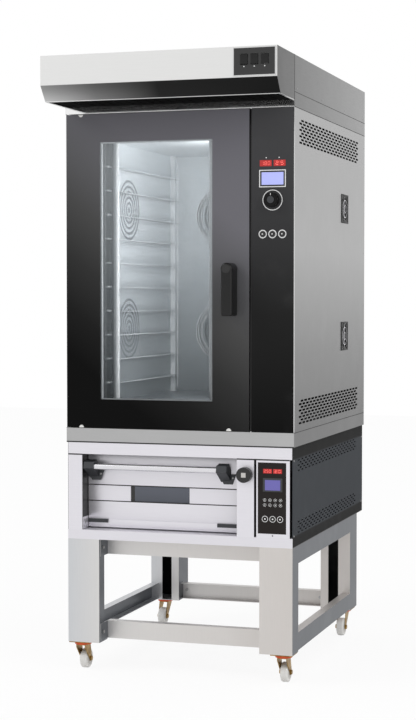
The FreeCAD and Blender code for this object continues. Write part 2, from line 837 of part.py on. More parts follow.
def build_deck_front():
    """Head rail, left post and damper column in one frame, and the control box beside it."""
    thin = "case_sheet"
    face = (FRONT, back(thin))
    deep = (FRONT, back(CHAMBER_FRONT))
    height = (DECK_SILL, DECK_HEAD)
    head = box(DECK_INNER, face, (DECK_HEAD, f"{DECK_TOP} - {thin}"))
    soffit = box(DECK_INNER, deep, (DECK_HEAD, f"{DECK_HEAD} + {thin}"))
    post = box((DECK_INNER[0], POST_RIGHT), face, height)
    post_wall = box((f"{POST_RIGHT} - {thin}", POST_RIGHT), deep, height)
    column = box((COLUMN_LEFT, COLUMN_RIGHT), face, height)
    column_wall = box((COLUMN_LEFT, f"{COLUMN_LEFT} + {thin}"), deep, height)
    far_wall = box((f"{COLUMN_RIGHT} - {thin}", COLUMN_RIGHT), deep, height)
    damper_hole = rod(
        "y", DAMPER_SPOT, "damper_spindle_radius + running_clearance",
        (f"{FRONT} - {thin}", back(f"2 * {thin}")),
    )
    frame = cut(fuse(head, soffit, post, post_wall, column, column_wall, far_wall), damper_hole)

    box_z = (DECK_SILL, DECK_HEAD)
    shell = box((CONTROL_LEFT, CONTROL_RIGHT), deep, box_z)
    hollow = box(
        (f"{CONTROL_LEFT} + {thin}", f"{CONTROL_RIGHT} - {thin}"),
        (back(f"panel_thickness + {thin}"), back(f"{CHAMBER_FRONT} + {thin}")),
        (f"{DECK_SILL} + {thin}", f"{DECK_HEAD} - {thin}"),
    )
    rebate = box(DECK_PANEL_X, (f"{FRONT} - {thin}", back("panel_thickness")), DECK_PANEL_Z)
    node("deck_front_frame", frame, cut(shell, hollow, rebate))


DAMPER_SPOT = (f"({COLUMN_LEFT} + {COLUMN_RIGHT}) / 2", f"{DECK_HEAD} - damper_knob_drop")
DECK_PANEL_X = (f"{CONTROL_LEFT} + deck_control_left_rim", f"{CONTROL_RIGHT} - deck_control_right_rim")
DECK_PANEL_Z = (f"{DECK_SILL} + deck_control_foot", f"{DECK_HEAD} - deck_control_top_rim")


def build_damper():
    """The damper knob, with its spindle and the flap plate at the inner end."""
    gap = f"({FRONT} - knob_gap)"
    spindle_end = back("damper_spindle_length")
    knob = rod("y", DAMPER_SPOT, "damper_knob_radius", (f"{gap} - damper_knob_depth", gap))
    spindle = rod("y", DAMPER_SPOT, "damper_spindle_radius", (gap, spindle_end))
    flap_x = (f"{DAMPER_SPOT[0]} - damper_knob_radius / 2", f"{DAMPER_SPOT[0]} + damper_knob_radius / 2")
    flap_z = (f"{DAMPER_SPOT[1]} - case_sheet / 2", f"{DAMPER_SPOT[1]} + case_sheet / 2")
    flap = box(flap_x, (back("damper_spindle_length / 2"), spindle_end), flap_z)
    node("deck_damper_knob", fuse(knob, spindle, flap))


MOUTH_X = (f"({POST_RIGHT} + chamber_side_margin)", f"({COLUMN_LEFT} - chamber_side_margin)")
MOUTH_Z = (f"({DECK_SILL} + chamber_sill)", f"({DECK_HEAD} - chamber_head)")
CHAMBER_REAR = f"({CHAMBER_FRONT} + chamber_depth)"


def build_chamber():
    """The baking chamber, its stone and its hairpin heaters."""
    thin = "chamber_sheet"
    flange = box(
        (f"{POST_RIGHT} - {thin}", f"{COLUMN_LEFT} + {thin}"),
        (back(CHAMBER_FRONT), back(f"{CHAMBER_FRONT} + {thin}")),
        (f"{DECK_SILL} - case_sheet", f"{DECK_HEAD} + case_sheet"),
    )
    tub = box(
        (f"{MOUTH_X[0]} - {thin}", f"{MOUTH_X[1]} + {thin}"),
        (back(CHAMBER_FRONT), back(f"{CHAMBER_REAR} + {thin}")),
        (f"{MOUTH_Z[0]} - {thin}", f"{MOUTH_Z[1]} + {thin}"),
    )
    hollow = box(MOUTH_X, (back(f"{CHAMBER_FRONT} - {thin}"), back(CHAMBER_REAR)), MOUTH_Z)
    ledge_y = (back(f"{CHAMBER_FRONT} + {thin}"), back(CHAMBER_REAR))
    ledge_z = (f"{MOUTH_Z[0]} + stone_ledge_rise - {thin}", f"{MOUTH_Z[0]} + stone_ledge_rise")
    left_ledge = box((MOUTH_X[0], f"{MOUTH_X[0]} + stone_ledge"), ledge_y, ledge_z)
    right_ledge = box((f"{MOUTH_X[1]} - stone_ledge", MOUTH_X[1]), ledge_y, ledge_z)
    node("deck_chamber", fuse(cut(fuse(flange, tub), hollow), left_ledge, right_ledge))

    stone_z = (ledge_z[1], f"{ledge_z[1]} + stone_thickness")
    stone_x = (f"{MOUTH_X[0]} + stone_margin", f"{MOUTH_X[1]} - stone_margin")
    stone_y = (back(f"{CHAMBER_FRONT} + stone_ledge"), back(f"{CHAMBER_REAR} - stone_margin"))
    node("deck_stone", box(stone_x, stone_y, stone_z))


def hairpin(middle_x, level):
    """A heating rod bent back on itself, both ends in the chamber's rear wall."""
    bend_y = back(f"{CHAMBER_REAR} - heater_length")
    span = (bend_y, back(CHAMBER_REAR))
    left = rod("y", (f"{middle_x} - heater_spread / 2", level), "heater_radius", span)
    right = rod("y", (f"{middle_x} + heater_spread / 2", level), "heater_radius", span)
    bend = doc.addObject("Part::Torus", "bend")
    bend.Placement = FreeCAD.Placement(FreeCAD.Vector(), FreeCAD.Rotation(FreeCAD.Vector(0, 0, 1), 180))
    bind(bend, "Radius1", "heater_spread / 2")
    bind(bend, "Radius2", "heater_radius")
    bend.Angle3 = 180
    place(bend, "xyz", (middle_x, bend_y, level))
    return fuse(left, right, bend)


def ring_heater(level):
    """A ring heater round a fan, its two leads in the cavity's rear wall."""
    y = back(f"{FAN_BACK} - ring_heater_setback")
    loop = doc.addObject("Part::Torus", "loop")
    loop.Placement = FreeCAD.Placement(FreeCAD.Vector(), ALONG["y"])
    bind(loop, "Radius1", "ring_heater_radius")
    bind(loop, "Radius2", "ring_heater_tube")
    place(loop, "xyz", (CAVITY_MID, y, level))
    leads = []
    for side in (-1, 1):
        spot = (f"{CAVITY_MID} + {side} * ring_heater_radius", level)
        leads.append(rod("y", spot, "ring_heater_lead", (y, back(FAN_BACK))))
    return fuse(loop, *leads)


def build_heaters():
    """Hairpins over and under the stone, and one ring round each fan."""
    middle = f"({MOUTH_X[0]} + {MOUTH_X[1]}) / 2"
    pins = []
    for level in (f"{MOUTH_Z[0]} + heater_drop - heater_radius", f"{MOUTH_Z[1]} - heater_drop"):
        for step in range(HAIRPINS):
            pins.append(hairpin(f"({middle} + ({step - HAIRPINS // 2}) * heater_pitch)", level))
    rings = [ring_heater(level) for level in FAN_LEVELS.values()]
    node("heating_elements", *pins, *rings)


DECK_WINDOW_X = (
    f"({DOOR_LEFT} + deck_window_left)",
    f"({DOOR_LEFT} + deck_window_left + deck_window_width)",
)
DECK_WINDOW_Z = (
    f"({DOOR_LOW} + deck_window_rise)",
    f"({DOOR_LOW} + deck_window_rise + deck_window_height)",
)
DECK_FACE = back("deck_recess")
DECK_PIN_SPOT = (back("deck_recess + deck_pin_setback"), f"({DOOR_LOW} + deck_pin_rise)")


def build_deck_door():
    """A pan with grooved skin, its inner cover, the window, the handle and the hinge straps."""
    thick = (DECK_FACE, back("deck_recess + deck_door_thickness"))
    skin = "deck_door_skin"
    inside_x = (f"{DOOR_LEFT} + {skin}", f"{DOOR_RIGHT} - {skin}")
    inside_z = (f"{DOOR_LOW} + {skin}", f"{DOOR_HIGH} - {skin}")
    cover_front = back(f"deck_recess + deck_door_thickness - {skin}")
    block = box((DOOR_LEFT, DOOR_RIGHT), thick, (DOOR_LOW, DOOR_HIGH))
    hollow = box(inside_x, (back(f"deck_recess + {skin}"), thick[1]), inside_z)
    window = box(DECK_WINDOW_X, (f"{DECK_FACE} - {skin}", f"{thick[1]} + {skin}"), DECK_WINDOW_Z)
    groove_levels = (
        f"{DECK_WINDOW_Z[1]} + door_groove_width / 2",
        f"{DECK_WINDOW_Z[0]} - door_groove_width / 2",
        f"{DOOR_LOW} + strap_rise + strap_height",
    )
    grooves = [
        box(
            (f"{DOOR_LEFT} - {skin}", f"{DOOR_RIGHT} + {skin}"),
            (f"{DECK_FACE} - {skin}", f"{DECK_FACE} + door_groove_depth"),
            (f"{level} - door_groove_width / 2", f"{level} + door_groove_width / 2"),
        )
        for level in groove_levels
    ]
    pin_hole = rod(
        "x", DECK_PIN_SPOT, "deck_pin_radius + running_clearance",
        (f"{DOOR_LEFT} - {skin}", f"{DOOR_RIGHT} + {skin}"),
    )
    pan = cut(block, fuse(hollow, window, *grooves, pin_hole))
    cover = cut(
        box(inside_x, (cover_front, thick[1]), inside_z),
        box(DECK_WINDOW_X, thick, DECK_WINDOW_Z),
    )
    node("deck_door", pan, cover)

    glass_y = (back(f"deck_recess + {skin}"), back(f"deck_recess + {skin} + deck_glass_thickness"))
    glass_x = (f"{DECK_WINDOW_X[0]} - deck_glass_lap", f"{DECK_WINDOW_X[1]} + deck_glass_lap")
    glass_z = (f"{DECK_WINDOW_Z[0]} - deck_glass_lap", f"{DECK_WINDOW_Z[1]} + deck_glass_lap")
    node("deck_door_glass", box(glass_x, glass_y, glass_z))


def arm_plate(arm, tube_z):
    """The tapered plate at the root of a handle arm, flat on the door."""
    top = f"{tube_z} - arm_plate_drop"
    foot = f"{top} - arm_plate_height"
    outline = [
        (f"{arm[0]} - arm_plate_outer_lap", top),
        (f"{arm[0]} + arm_plate_taper", foot),
        (f"{arm[1]} + arm_plate_inner_lap - arm_plate_taper", foot),
        (f"{arm[1]} + arm_plate_inner_lap", top),
    ]
    return bar("XZ", outline, (f"{DECK_FACE} - arm_plate_thickness", DECK_FACE))


def build_deck_handle():
    """Two angled arms that carry a tube, and the two hinge straps low on the door."""
    tube_y = back("deck_recess - deck_handle_reach")
    tube_z = f"({DOOR_HIGH} - deck_handle_drop)"
    around = "deck_handle_radius"
    foot_low = f"{tube_z} - deck_arm_foot"
    profile = [
        (DECK_FACE, foot_low),
        (DECK_FACE, f"{tube_z} - {around} / 2"),
        (f"{tube_y} + {around} * 2", f"{tube_z} + {around} * 2"),
        (f"{tube_y} - {around}", f"{tube_z} + {around} * 1.5"),
        (f"{tube_y} - {around} * 1.5", f"{tube_z} - {around} / 2"),
        (f"{tube_y} + {around}", f"{tube_z} - {around} * 2"),
    ]
    left_arm = (f"{DOOR_LEFT} + deck_arm_inset", f"{DOOR_LEFT} + deck_arm_inset + deck_arm_width")
    right_arm = (
        f"{DOOR_RIGHT} - deck_right_arm_inset - deck_arm_width",
        f"{DOOR_RIGHT} - deck_right_arm_inset",
    )
    strap_y = (f"{DECK_FACE} - strap_thickness", DECK_FACE)
    strap_z = (f"{DOOR_LOW} + strap_rise", f"{DOOR_LOW} + strap_rise + strap_height")
    left_strap = box((DOOR_LEFT, f"{DOOR_LEFT} + left_strap_length"), strap_y, strap_z)
    right_strap = box((f"{DOOR_RIGHT} - right_strap_length", DOOR_RIGHT), strap_y, strap_z)
    arms = [fuse(bar("YZ", profile, span), arm_plate(span, tube_z)) for span in (left_arm, right_arm)]
    node("deck_door_fittings", *arms, left_strap, right_strap)
    node("deck_handle_tube", rod("x", (tube_y, tube_z), "deck_handle_radius", (left_arm[1], right_arm[0])))


# Convection oven

CONTROL_EDGE = f"({RIGHT} - control_width)"
COLUMN_WALL = f"({CONTROL_EDGE} - door_seam / 2)"
DOOR_EDGE = f"({CONTROL_EDGE} - door_seam)"
CAVITY_X = (f"({LEFT} + cavity_left_margin)", f"({COLUMN_WALL} - cavity_right_margin)")
CAVITY_Z = (f"({SILL} + cavity_bottom_margin)", f"({HEADER} - cavity_top_margin)")
CAVITY_MID = f"(({CAVITY_X[0]} + {CAVITY_X[1]}) / 2)"
FRAME_BACK = "(front_frame_setback + front_frame_sheet)"
FAN_BACK = f"({FRAME_BACK} + cavity_depth)"
FAN_LEVELS = {
    "upper": f"(({CAVITY_Z[0]} + {CAVITY_Z[1]}) / 2 + fan_spacing / 2)",
    "lower": f"(({CAVITY_Z[0]} + {CAVITY_Z[1]}) / 2 - fan_spacing / 2)",
}
COOLING_LEVELS = {
    "upper": f"({SILL} + cooling_low_rise + cooling_spacing)",
    "lower": f"({SILL} + cooling_low_rise)",
}
COOLING_Y = back("cooling_setback")
KNOB_SPOT = (f"({CONTROL_EDGE} + knob_offset)", f"({SILL} + knob_rise)")


def button_spot(step):
    """The centre of one push button on the control panel."""
    return f"({KNOB_SPOT[0]} + ({step}) * button_pitch)", f"({SILL} + button_rise)"


def build_oven_case():
    """Base, perforated sides, and one sheet for the rear and the top."""
    thin = "case_sheet"
    block = box((LEFT, RIGHT), (FRONT, f"{REAR} - {thin}"), (DECK_TOP, SILL))
    hollow = box(
        (f"{LEFT} + {thin}", f"{RIGHT} - {thin}"),
        (back(thin), f"{REAR} - 2 * {thin}"),
        (f"{DECK_TOP} + {thin}", f"{SILL} - {thin}"),
    )
    mouth = box(
        (f"{LEFT} + {thin}", f"{RIGHT} - {thin}"),
        (back(FRAME_BACK), f"{REAR} - 2 * {thin}"),
        (f"{SILL} - 2 * {thin}", f"{SILL} + {thin}"),
    )
    node("oven_base", cut(block, fuse(hollow, mouth)))

    first = number(back("vent_start"))
    rows = int(number("vent_rows"))
    columns = int(number("vent_columns"))
    pitch = number("vent_row_pitch")
    bottom = number(f"{SILL} + vent_bottom_rise")
    top = number(f"{HOOD_FLOOR} - vent_top_drop")

    def vent_slots(plane_x):
        return [
            wire
            for level in (bottom, top)
            for wire in slot_field("vent_slot", plane_x, first, level, rows, columns, pitch)
        ]

    def vents_and_fans(plane_x):
        axis = FreeCAD.Vector(1, 0, 0)
        circles = [
            Part.Wire(Part.makeCircle(
                number("cooling_duct_radius"),
                FreeCAD.Vector(plane_x, number(COOLING_Y), number(level)),
                axis,
            ))
            for level in COOLING_LEVELS.values()
        ]
        return vent_slots(plane_x) + circles

    side_z = (SILL, HOOD_FLOOR)
    side_end = f"{REAR} - {thin}"
    left = punched_panel((LEFT, f"{LEFT} + {thin}"), (back(FRAME_BACK), side_end), side_z, vent_slots)
    right = punched_panel((f"{RIGHT} - {thin}", RIGHT), (FRONT, side_end), side_z, vents_and_fans)
    node("oven_side_panels", left, right)

    rear = box((LEFT, RIGHT), (f"{REAR} - {thin}", REAR), (DECK_TOP, HOOD_FLOOR))
    top_sheet = box(
        (f"{LEFT} + {thin}", f"{RIGHT} - {thin}"),
        (back(FRAME_BACK), REAR),
        (f"{HOOD_FLOOR} - {thin}", HOOD_FLOOR),
    )
    node("oven_rear_cover", fuse(rear, top_sheet))


def build_front_frame():
    """The front frame with its header and the sheet column behind the controls."""
    thin = "case_sheet"
    inner_right = f"{RIGHT} - {thin}"
    plate_y = (back("front_frame_setback"), back(FRAME_BACK))
    plate = box((LEFT, inner_right), plate_y, (SILL, HOOD_FLOOR))
    through_y = (f"{plate_y[0]} - {thin}", f"{plate_y[1]} + {thin}")
    opening = box(CAVITY_X, through_y, CAVITY_Z)
    header = box((LEFT, inner_right), (FRONT, plate_y[1]), (HEADER, f"{HEADER} + {thin}"))
    brow = box((LEFT, inner_right), (FRONT, back(thin)), (HEADER, HOOD_FLOOR))
    wall_y = (back("panel_thickness"), plate_y[1])
    wall = box((COLUMN_WALL, f"{COLUMN_WALL} + {thin}"), wall_y, (SILL, f"{HEADER} + {thin}"))
    sheet_y = (back("panel_thickness"), back(f"panel_thickness + {thin}"))
    column = box((COLUMN_WALL, inner_right), sheet_y, (SILL, f"{HEADER} + {thin}"))
    holes_y = (f"{FRONT} - {thin}", back(f"panel_thickness + 2 * {thin}"))
    frame = cut(fuse(cut(plate, opening), header, brow, wall, column), *control_holes(holes_y))
    node("oven_front_frame", frame)


def control_holes(span):
    """Bores for the knob shaft and the button stems."""
    knob = rod("y", KNOB_SPOT, "knob_shaft_radius + running_clearance", span)
    stems = [
        rod("y", button_spot(step), "button_stem_radius + running_clearance", span)
        for step in (-1, 0, 1)
    ]
    return [knob, *stems]


def build_cavity():
    """The cavity liner, the door gasket, the tray racks and the fan baffle."""
    thin = "cavity_sheet"
    reach = "cavity_flange"
    flange = box(
        (f"{CAVITY_X[0]} - {reach}", f"{CAVITY_X[1]} + {reach}"),
        (back(FRAME_BACK), back(f"{FRAME_BACK} + {thin}")),
        (f"{CAVITY_Z[0]} - {reach}", f"{CAVITY_Z[1]} + {reach}"),
    )
    tub = box(
        (f"{CAVITY_X[0]} - {thin}", f"{CAVITY_X[1]} + {thin}"),
        (back(FRAME_BACK), back(f"{FAN_BACK} + {thin}")),
        (f"{CAVITY_Z[0]} - {thin}", f"{CAVITY_Z[1]} + {thin}"),
    )
    hollow = box(CAVITY_X, (back(f"{FRAME_BACK} - {thin}"), back(FAN_BACK)), CAVITY_Z)
    shafts = [
        rod(
            "y", (CAVITY_MID, level), "fan_shaft_radius + running_clearance",
            (back(f"{FAN_BACK} - {thin}"), back(f"{FAN_BACK} + 2 * {thin}")),
        )
        for level in FAN_LEVELS.values()
    ]
    node("oven_cavity", cut(fuse(flange, tub), fuse(hollow, *shafts)))

    outer = "(gasket_margin + gasket_width)"
    gasket_y = (back("front_frame_setback - gasket_height"), back("front_frame_setback"))
    outside = box(
        (f"{CAVITY_X[0]} - {outer}", f"{CAVITY_X[1]} + {outer}"), gasket_y,
        (f"{CAVITY_Z[0]} - {outer}", f"{CAVITY_Z[1]} + {outer}"),
    )
    inside = box(
        (f"{CAVITY_X[0]} - gasket_margin", f"{CAVITY_X[1]} + gasket_margin"), gasket_y,
        (f"{CAVITY_Z[0]} - gasket_margin", f"{CAVITY_Z[1]} + gasket_margin"),
    )
    node("door_gasket", cut(outside, inside))


def tray_rack(side):
    """One side of the rack: two posts on the cavity wall and a guide for each tray."""
    wall = CAVITY_X[0] if side < 0 else CAVITY_X[1]

    def span(near, far):
        if side < 0:
            return (f"{wall} + {near}", f"{wall} + {far}")
        return (f"{wall} - ({far})", f"{wall} - ({near})")

    first = f"{FRAME_BACK} + rack_margin"
    last = f"{FRAME_BACK} + baffle_setback - rack_margin"
    posts = [
        box(span("0", "rack_post"), (back(start), back(f"{start} + rack_post_length")), CAVITY_Z)
        for start in (first, f"{last} - rack_post_length")
    ]
    guides = [
        box(
            span("0", "rack_post + rack_guide"), (back(first), back(last)),
            (f"{CAVITY_Z[0]} + rack_first_rise + {level} * rack_pitch",
             f"{CAVITY_Z[0]} + rack_first_rise + {level} * rack_pitch + rack_guide_sheet"),
        )
        for level in range(TRAY_LEVELS)
    ]
    return fuse(*posts, *guides)


def fan_guard(level):
    """Concentric rings and a cross of bars over a fan opening."""
    y = (back(BAFFLE), back(f"{BAFFLE} + baffle_sheet"))
    spot = (CAVITY_MID, level)
    rings = [
        ring("y", spot, f"{step} * guard_pitch", f"{step} * guard_pitch + guard_wire", y)
        for step in range(1, GUARD_RINGS + 1)
    ]
    half = "guard_wire / 2"
    upright = box(
        (f"{CAVITY_MID} - {half}", f"{CAVITY_MID} + {half}"), y,
        (f"{level} - guard_radius", f"{level} + guard_radius"),
    )
    level_bar = box(
        (f"{CAVITY_MID} - guard_radius", f"{CAVITY_MID} + guard_radius"), y,
        (f"{level} - {half}", f"{level} + {half}"),
    )
    return [*rings, upright, level_bar]


BAFFLE = f"({FRAME_BACK} + baffle_setback)"


def build_cavity_fittings():
    """Tray racks on both sides and the baffle with its two fan guards."""
    node("tray_racks", tray_rack(-1), tray_rack(1))
    y = (back(BAFFLE), back(f"{BAFFLE} + baffle_sheet"))
    deep = (back(f"{BAFFLE} - baffle_sheet"), back(f"{BAFFLE} + 2 * baffle_sheet"))
    openings = [rod("y", (CAVITY_MID, level), "guard_radius", deep) for level in FAN_LEVELS.values()]
    plate = cut(box(CAVITY_X, y, CAVITY_Z), *openings)
    guards = [piece for level in FAN_LEVELS.values() for piece in fan_guard(level)]
    node("fan_baffle", fuse(plate, *guards))


def paddle_wheel(blades, radius, depth, blade_length, hub, shaft):
    """A radial wheel about its own Z axis: back disc, blades, front ring, hub and a shaft behind it."""
    body = doc.addObject("PartDesign::Body", "wheel")
    disc = new_sketch(body, "XY")
    draw_circle(disc, radius)
    pad(body, disc, "fan_sheet")
    blade = new_sketch(body, "XY")
    half = "fan_sheet / 2"
    draw_polygon(blade, [
        (f"{radius} - {blade_length}", f"-{half}"),
        (radius, f"-{half}"),
        (radius, half),
        (f"{radius} - {blade_length}", half),
    ])
    one_blade = pad(body, blade, depth)
    doc.recompute()
    pattern = body.newObject("PartDesign::PolarPattern", "blades")
    pattern.Originals = [one_blade]
    pattern.Axis = (origin_part(body, "Z_Axis"), [""])
    pattern.Angle = 360
    pattern.Occurrences = blades
    body.Tip = pattern
    rim = new_sketch(body, "XY", f"{depth} - fan_sheet")
    draw_circle(rim, radius)
    draw_circle(rim, f"{radius} - fan_ring_width")
    pad(body, rim, "fan_sheet")
    boss = new_sketch(body, "XY")
    draw_circle(boss, hub[0])
    pad(body, boss, hub[1])
    stub = new_sketch(body, "XY")
    draw_circle(stub, shaft[0])
    pad(body, stub, shaft[1], backwards=True)
    return body


def build_fans():
    """Two fan wheels on shafts through the cavity's rear wall, and their motors with the hood's."""
    facing_front = FreeCAD.Rotation(FreeCAD.Vector(1, 0, 0), 90)
    shaft_length = "fan_gap + cavity_sheet + fan_shaft_engagement"
    motors = []
    for name, level in FAN_LEVELS.items():
        wheel = paddle_wheel(
            FAN_BLADES, "fan_radius", "fan_depth", "fan_blade_length",
            ("fan_hub_radius", "fan_depth / 2"), ("fan_shaft_radius", shaft_length),
        )
        wheel.Placement = FreeCAD.Placement(FreeCAD.Vector(), facing_front)
        place(wheel, "xyz", (CAVITY_MID, back(f"{FAN_BACK} - fan_gap"), level))
        node(f"fan_wheel_{name}", wheel)
        motor_y = (back(f"{FAN_BACK} + cavity_sheet"), back(f"{FAN_BACK} + cavity_sheet + motor_length"))
        motor = rod("y", (CAVITY_MID, level), "motor_radius", motor_y)
        bore = rod(
            "y", (CAVITY_MID, level), "fan_shaft_radius + running_clearance",
            (f"{motor_y[0]} - cavity_sheet", f"{motor_y[0]} + fan_shaft_engagement + cavity_sheet"),
        )
        motors.append(cut(motor, bore))

    motor_top = f"({HOOD_FLOOR} + blower_motor_height)"
    spot = ("0", BLOWER_Y)
    body = rod("z", spot, "blower_motor_radius", (HOOD_FLOOR, motor_top))
    bore = rod(
        "z", spot, "blower_shaft_radius + running_clearance",
        (f"{HOOD_FLOOR} + blower_gap", f"{motor_top} + blower_gap"),
    )
    motors.append(cut(body, bore))
    node("fan_motors", *motors)

    blower = paddle_wheel(
        FAN_BLADES, "blower_radius", "blower_height", "fan_blade_length",
        ("fan_hub_radius", "blower_height / 2"),
        ("blower_shaft_radius", "blower_motor_height - blower_gap"),
    )
    place(blower, "xyz", ("0", BLOWER_Y, f"{motor_top} + blower_gap"))
    node("blower_wheel", blower)


BLOWER_Y = f"(({FRONT} + {REAR}) / 2)"
OVEN_DOOR_X = (f"({LEFT} + door_edge_gap)", DOOR_EDGE)
OVEN_DOOR_Z = (f"({SILL} + door_sill_gap)", f"({HEADER} - door_sill_gap)")
TUNNEL_X = (f"({CAVITY_X[0]} - door_window_margin)", f"({CAVITY_X[1]} + door_window_margin)")
TUNNEL_Z = (f"({CAVITY_Z[0]} - door_window_margin)", f"({CAVITY_Z[1]} + door_window_margin)")
HINGE_SPOT = (f"({LEFT} + hinge_inset)", back("hinge_setback"))
SPINDLE_SPOT = (f"({DOOR_EDGE} - handle_spindle_inset)", f"({SILL} + handle_spindle_rise)")


def build_oven_door():
    """A sheet frame open to the front, its two panes and the bores for the hinge pins and the spindle."""
    thin = "door_sheet"
    front = back("door_glass_thickness")
    rear = back("door_thickness")
    block = box(OVEN_DOOR_X, (front, rear), OVEN_DOOR_Z)
    hollow = cut(
        box(
            (f"{OVEN_DOOR_X[0]} + {thin}", f"{OVEN_DOOR_X[1]} - {thin}"),
            (front, f"{rear} - {thin}"),
            (f"{OVEN_DOOR_Z[0]} + {thin}", f"{OVEN_DOOR_Z[1]} - {thin}"),
        ),
        box(
            (f"{TUNNEL_X[0]} - {thin}", f"{TUNNEL_X[1]} + {thin}"),
            (front, rear),
            (f"{TUNNEL_Z[0]} - {thin}", f"{TUNNEL_Z[1]} + {thin}"),
        ),
    )
    tunnel = box(TUNNEL_X, (front, f"{rear} + {thin}"), TUNNEL_Z)
    shell = cut(cut(block, hollow), tunnel)
    corner_x = (OVEN_DOOR_X[0], f"{OVEN_DOOR_X[0]} + hinge_block")
    corner_y = (front, f"{front} + hinge_block")
    low = box(corner_x, corner_y, (OVEN_DOOR_Z[0], f"{OVEN_DOOR_Z[0]} + hinge_block"))
    high = box(corner_x, corner_y, (f"{OVEN_DOOR_Z[1]} - hinge_block", OVEN_DOOR_Z[1]))
    bush = rod("y", SPINDLE_SPOT, "handle_bush_radius", (front, rear))
    pin_bore = "hinge_pin_radius + running_clearance"
    spindle_bore = "handle_spindle_radius + running_clearance"
    bores = [
        rod("z", HINGE_SPOT, pin_bore, (OVEN_DOOR_Z[0], f"{OVEN_DOOR_Z[0]} + hinge_pin_length")),
        rod("z", HINGE_SPOT, pin_bore, (f"{OVEN_DOOR_Z[1]} - hinge_pin_length", OVEN_DOOR_Z[1])),
        rod("y", SPINDLE_SPOT, spindle_bore, (front, back("handle_spindle_length + handle_glass_gap"))),
    ]
    node("oven_door_frame", cut(fuse(shell, low, high, bush), *bores))

    spindle_hole = rod(
        "y", SPINDLE_SPOT, "handle_spindle_radius + handle_glass_gap",
        (f"{FRONT} - {thin}", f"{front} + {thin}"),
    )
    node("door_outer_glass", cut(box(OVEN_DOOR_X, (FRONT, front), OVEN_DOOR_Z), spindle_hole))
    pane_y = (
        f"{rear} - inner_glass_setback - inner_glass_thickness",
        f"{rear} - inner_glass_setback",
    )
    node("door_inner_glass", box(TUNNEL_X, pane_y, TUNNEL_Z))


def build_door_handle():
    """A deep lever, hollow at the back, that hangs from a round boss on a spindle through the door."""
    x, z = SPINDLE_SPOT
    half = "handle_width / 2"
    back_face = f"({FRONT} - handle_stand_off)"
    low = f"{z} + handle_boss_radius - handle_length"
    grip = box(
        (f"{x} - {half}", f"{x} + {half}"),
        (f"{back_face} - handle_depth", back_face),
        (low, z),
    )
    top = rod("y", SPINDLE_SPOT, "handle_boss_radius", (f"{back_face} - handle_depth", back_face))
    lever = fuse(grip, top)
    floor = number(low)
    inner = number(back_face)
    outer = number(f"{back_face} - handle_depth")

    def at_rest_on(edge, place_value, axis):
        return all(abs(getattr(vertex.Point, axis) - place_value) < 0.01 for vertex in edge.Vertexes)

    def is_grip_edge(edge):
        on_face = at_rest_on(edge, outer, "y") and not at_rest_on(edge, inner, "y")
        return on_face or at_rest_on(edge, floor, "z")

    smooth = rounded(lever, "handle_rounding", is_grip_edge)
    hollow = box(
        (f"{x} - {half} + handle_wall", f"{x} + {half} - handle_wall"),
        (f"{back_face} - handle_depth + handle_rounding", f"{back_face} + handle_wall"),
        (f"{low} + handle_rounding", f"{z} - handle_boss_radius"),
    )
    neck = rod("y", SPINDLE_SPOT, "handle_bush_radius", (back_face, f"{FRONT} - handle_glass_gap"))
    spindle = rod("y", SPINDLE_SPOT, "handle_spindle_radius", (back_face, back("handle_spindle_length")))
    node("door_handle", fuse(cut(smooth, hollow), neck, spindle))


def build_hinge_pins():
    """Upright pins for the oven door and level pins for the deck door."""
    low = rod("z", HINGE_SPOT, "hinge_pin_radius", (SILL, f"{SILL} + hinge_pin_length"))
    high = rod("z", HINGE_SPOT, "hinge_pin_radius", (f"{HEADER} - hinge_pin_length", HEADER))
    left = rod("x", DECK_PIN_SPOT, "deck_pin_radius", (POST_RIGHT, f"{POST_RIGHT} + deck_pin_length"))
    right = rod("x", DECK_PIN_SPOT, "deck_pin_radius", (f"{COLUMN_LEFT} - deck_pin_length", COLUMN_LEFT))
    node("hinge_pins", low, high, left, right)


def display(x, z, width, height, face):
    """A thin display window on the face of a control panel."""
    return box(
        (f"{x} - {width} / 2", f"{x} + {width} / 2"),
        (f"{face} - display_rise", face),
        (f"{z} - {height} / 2", f"{z} + {height} / 2"),
    )


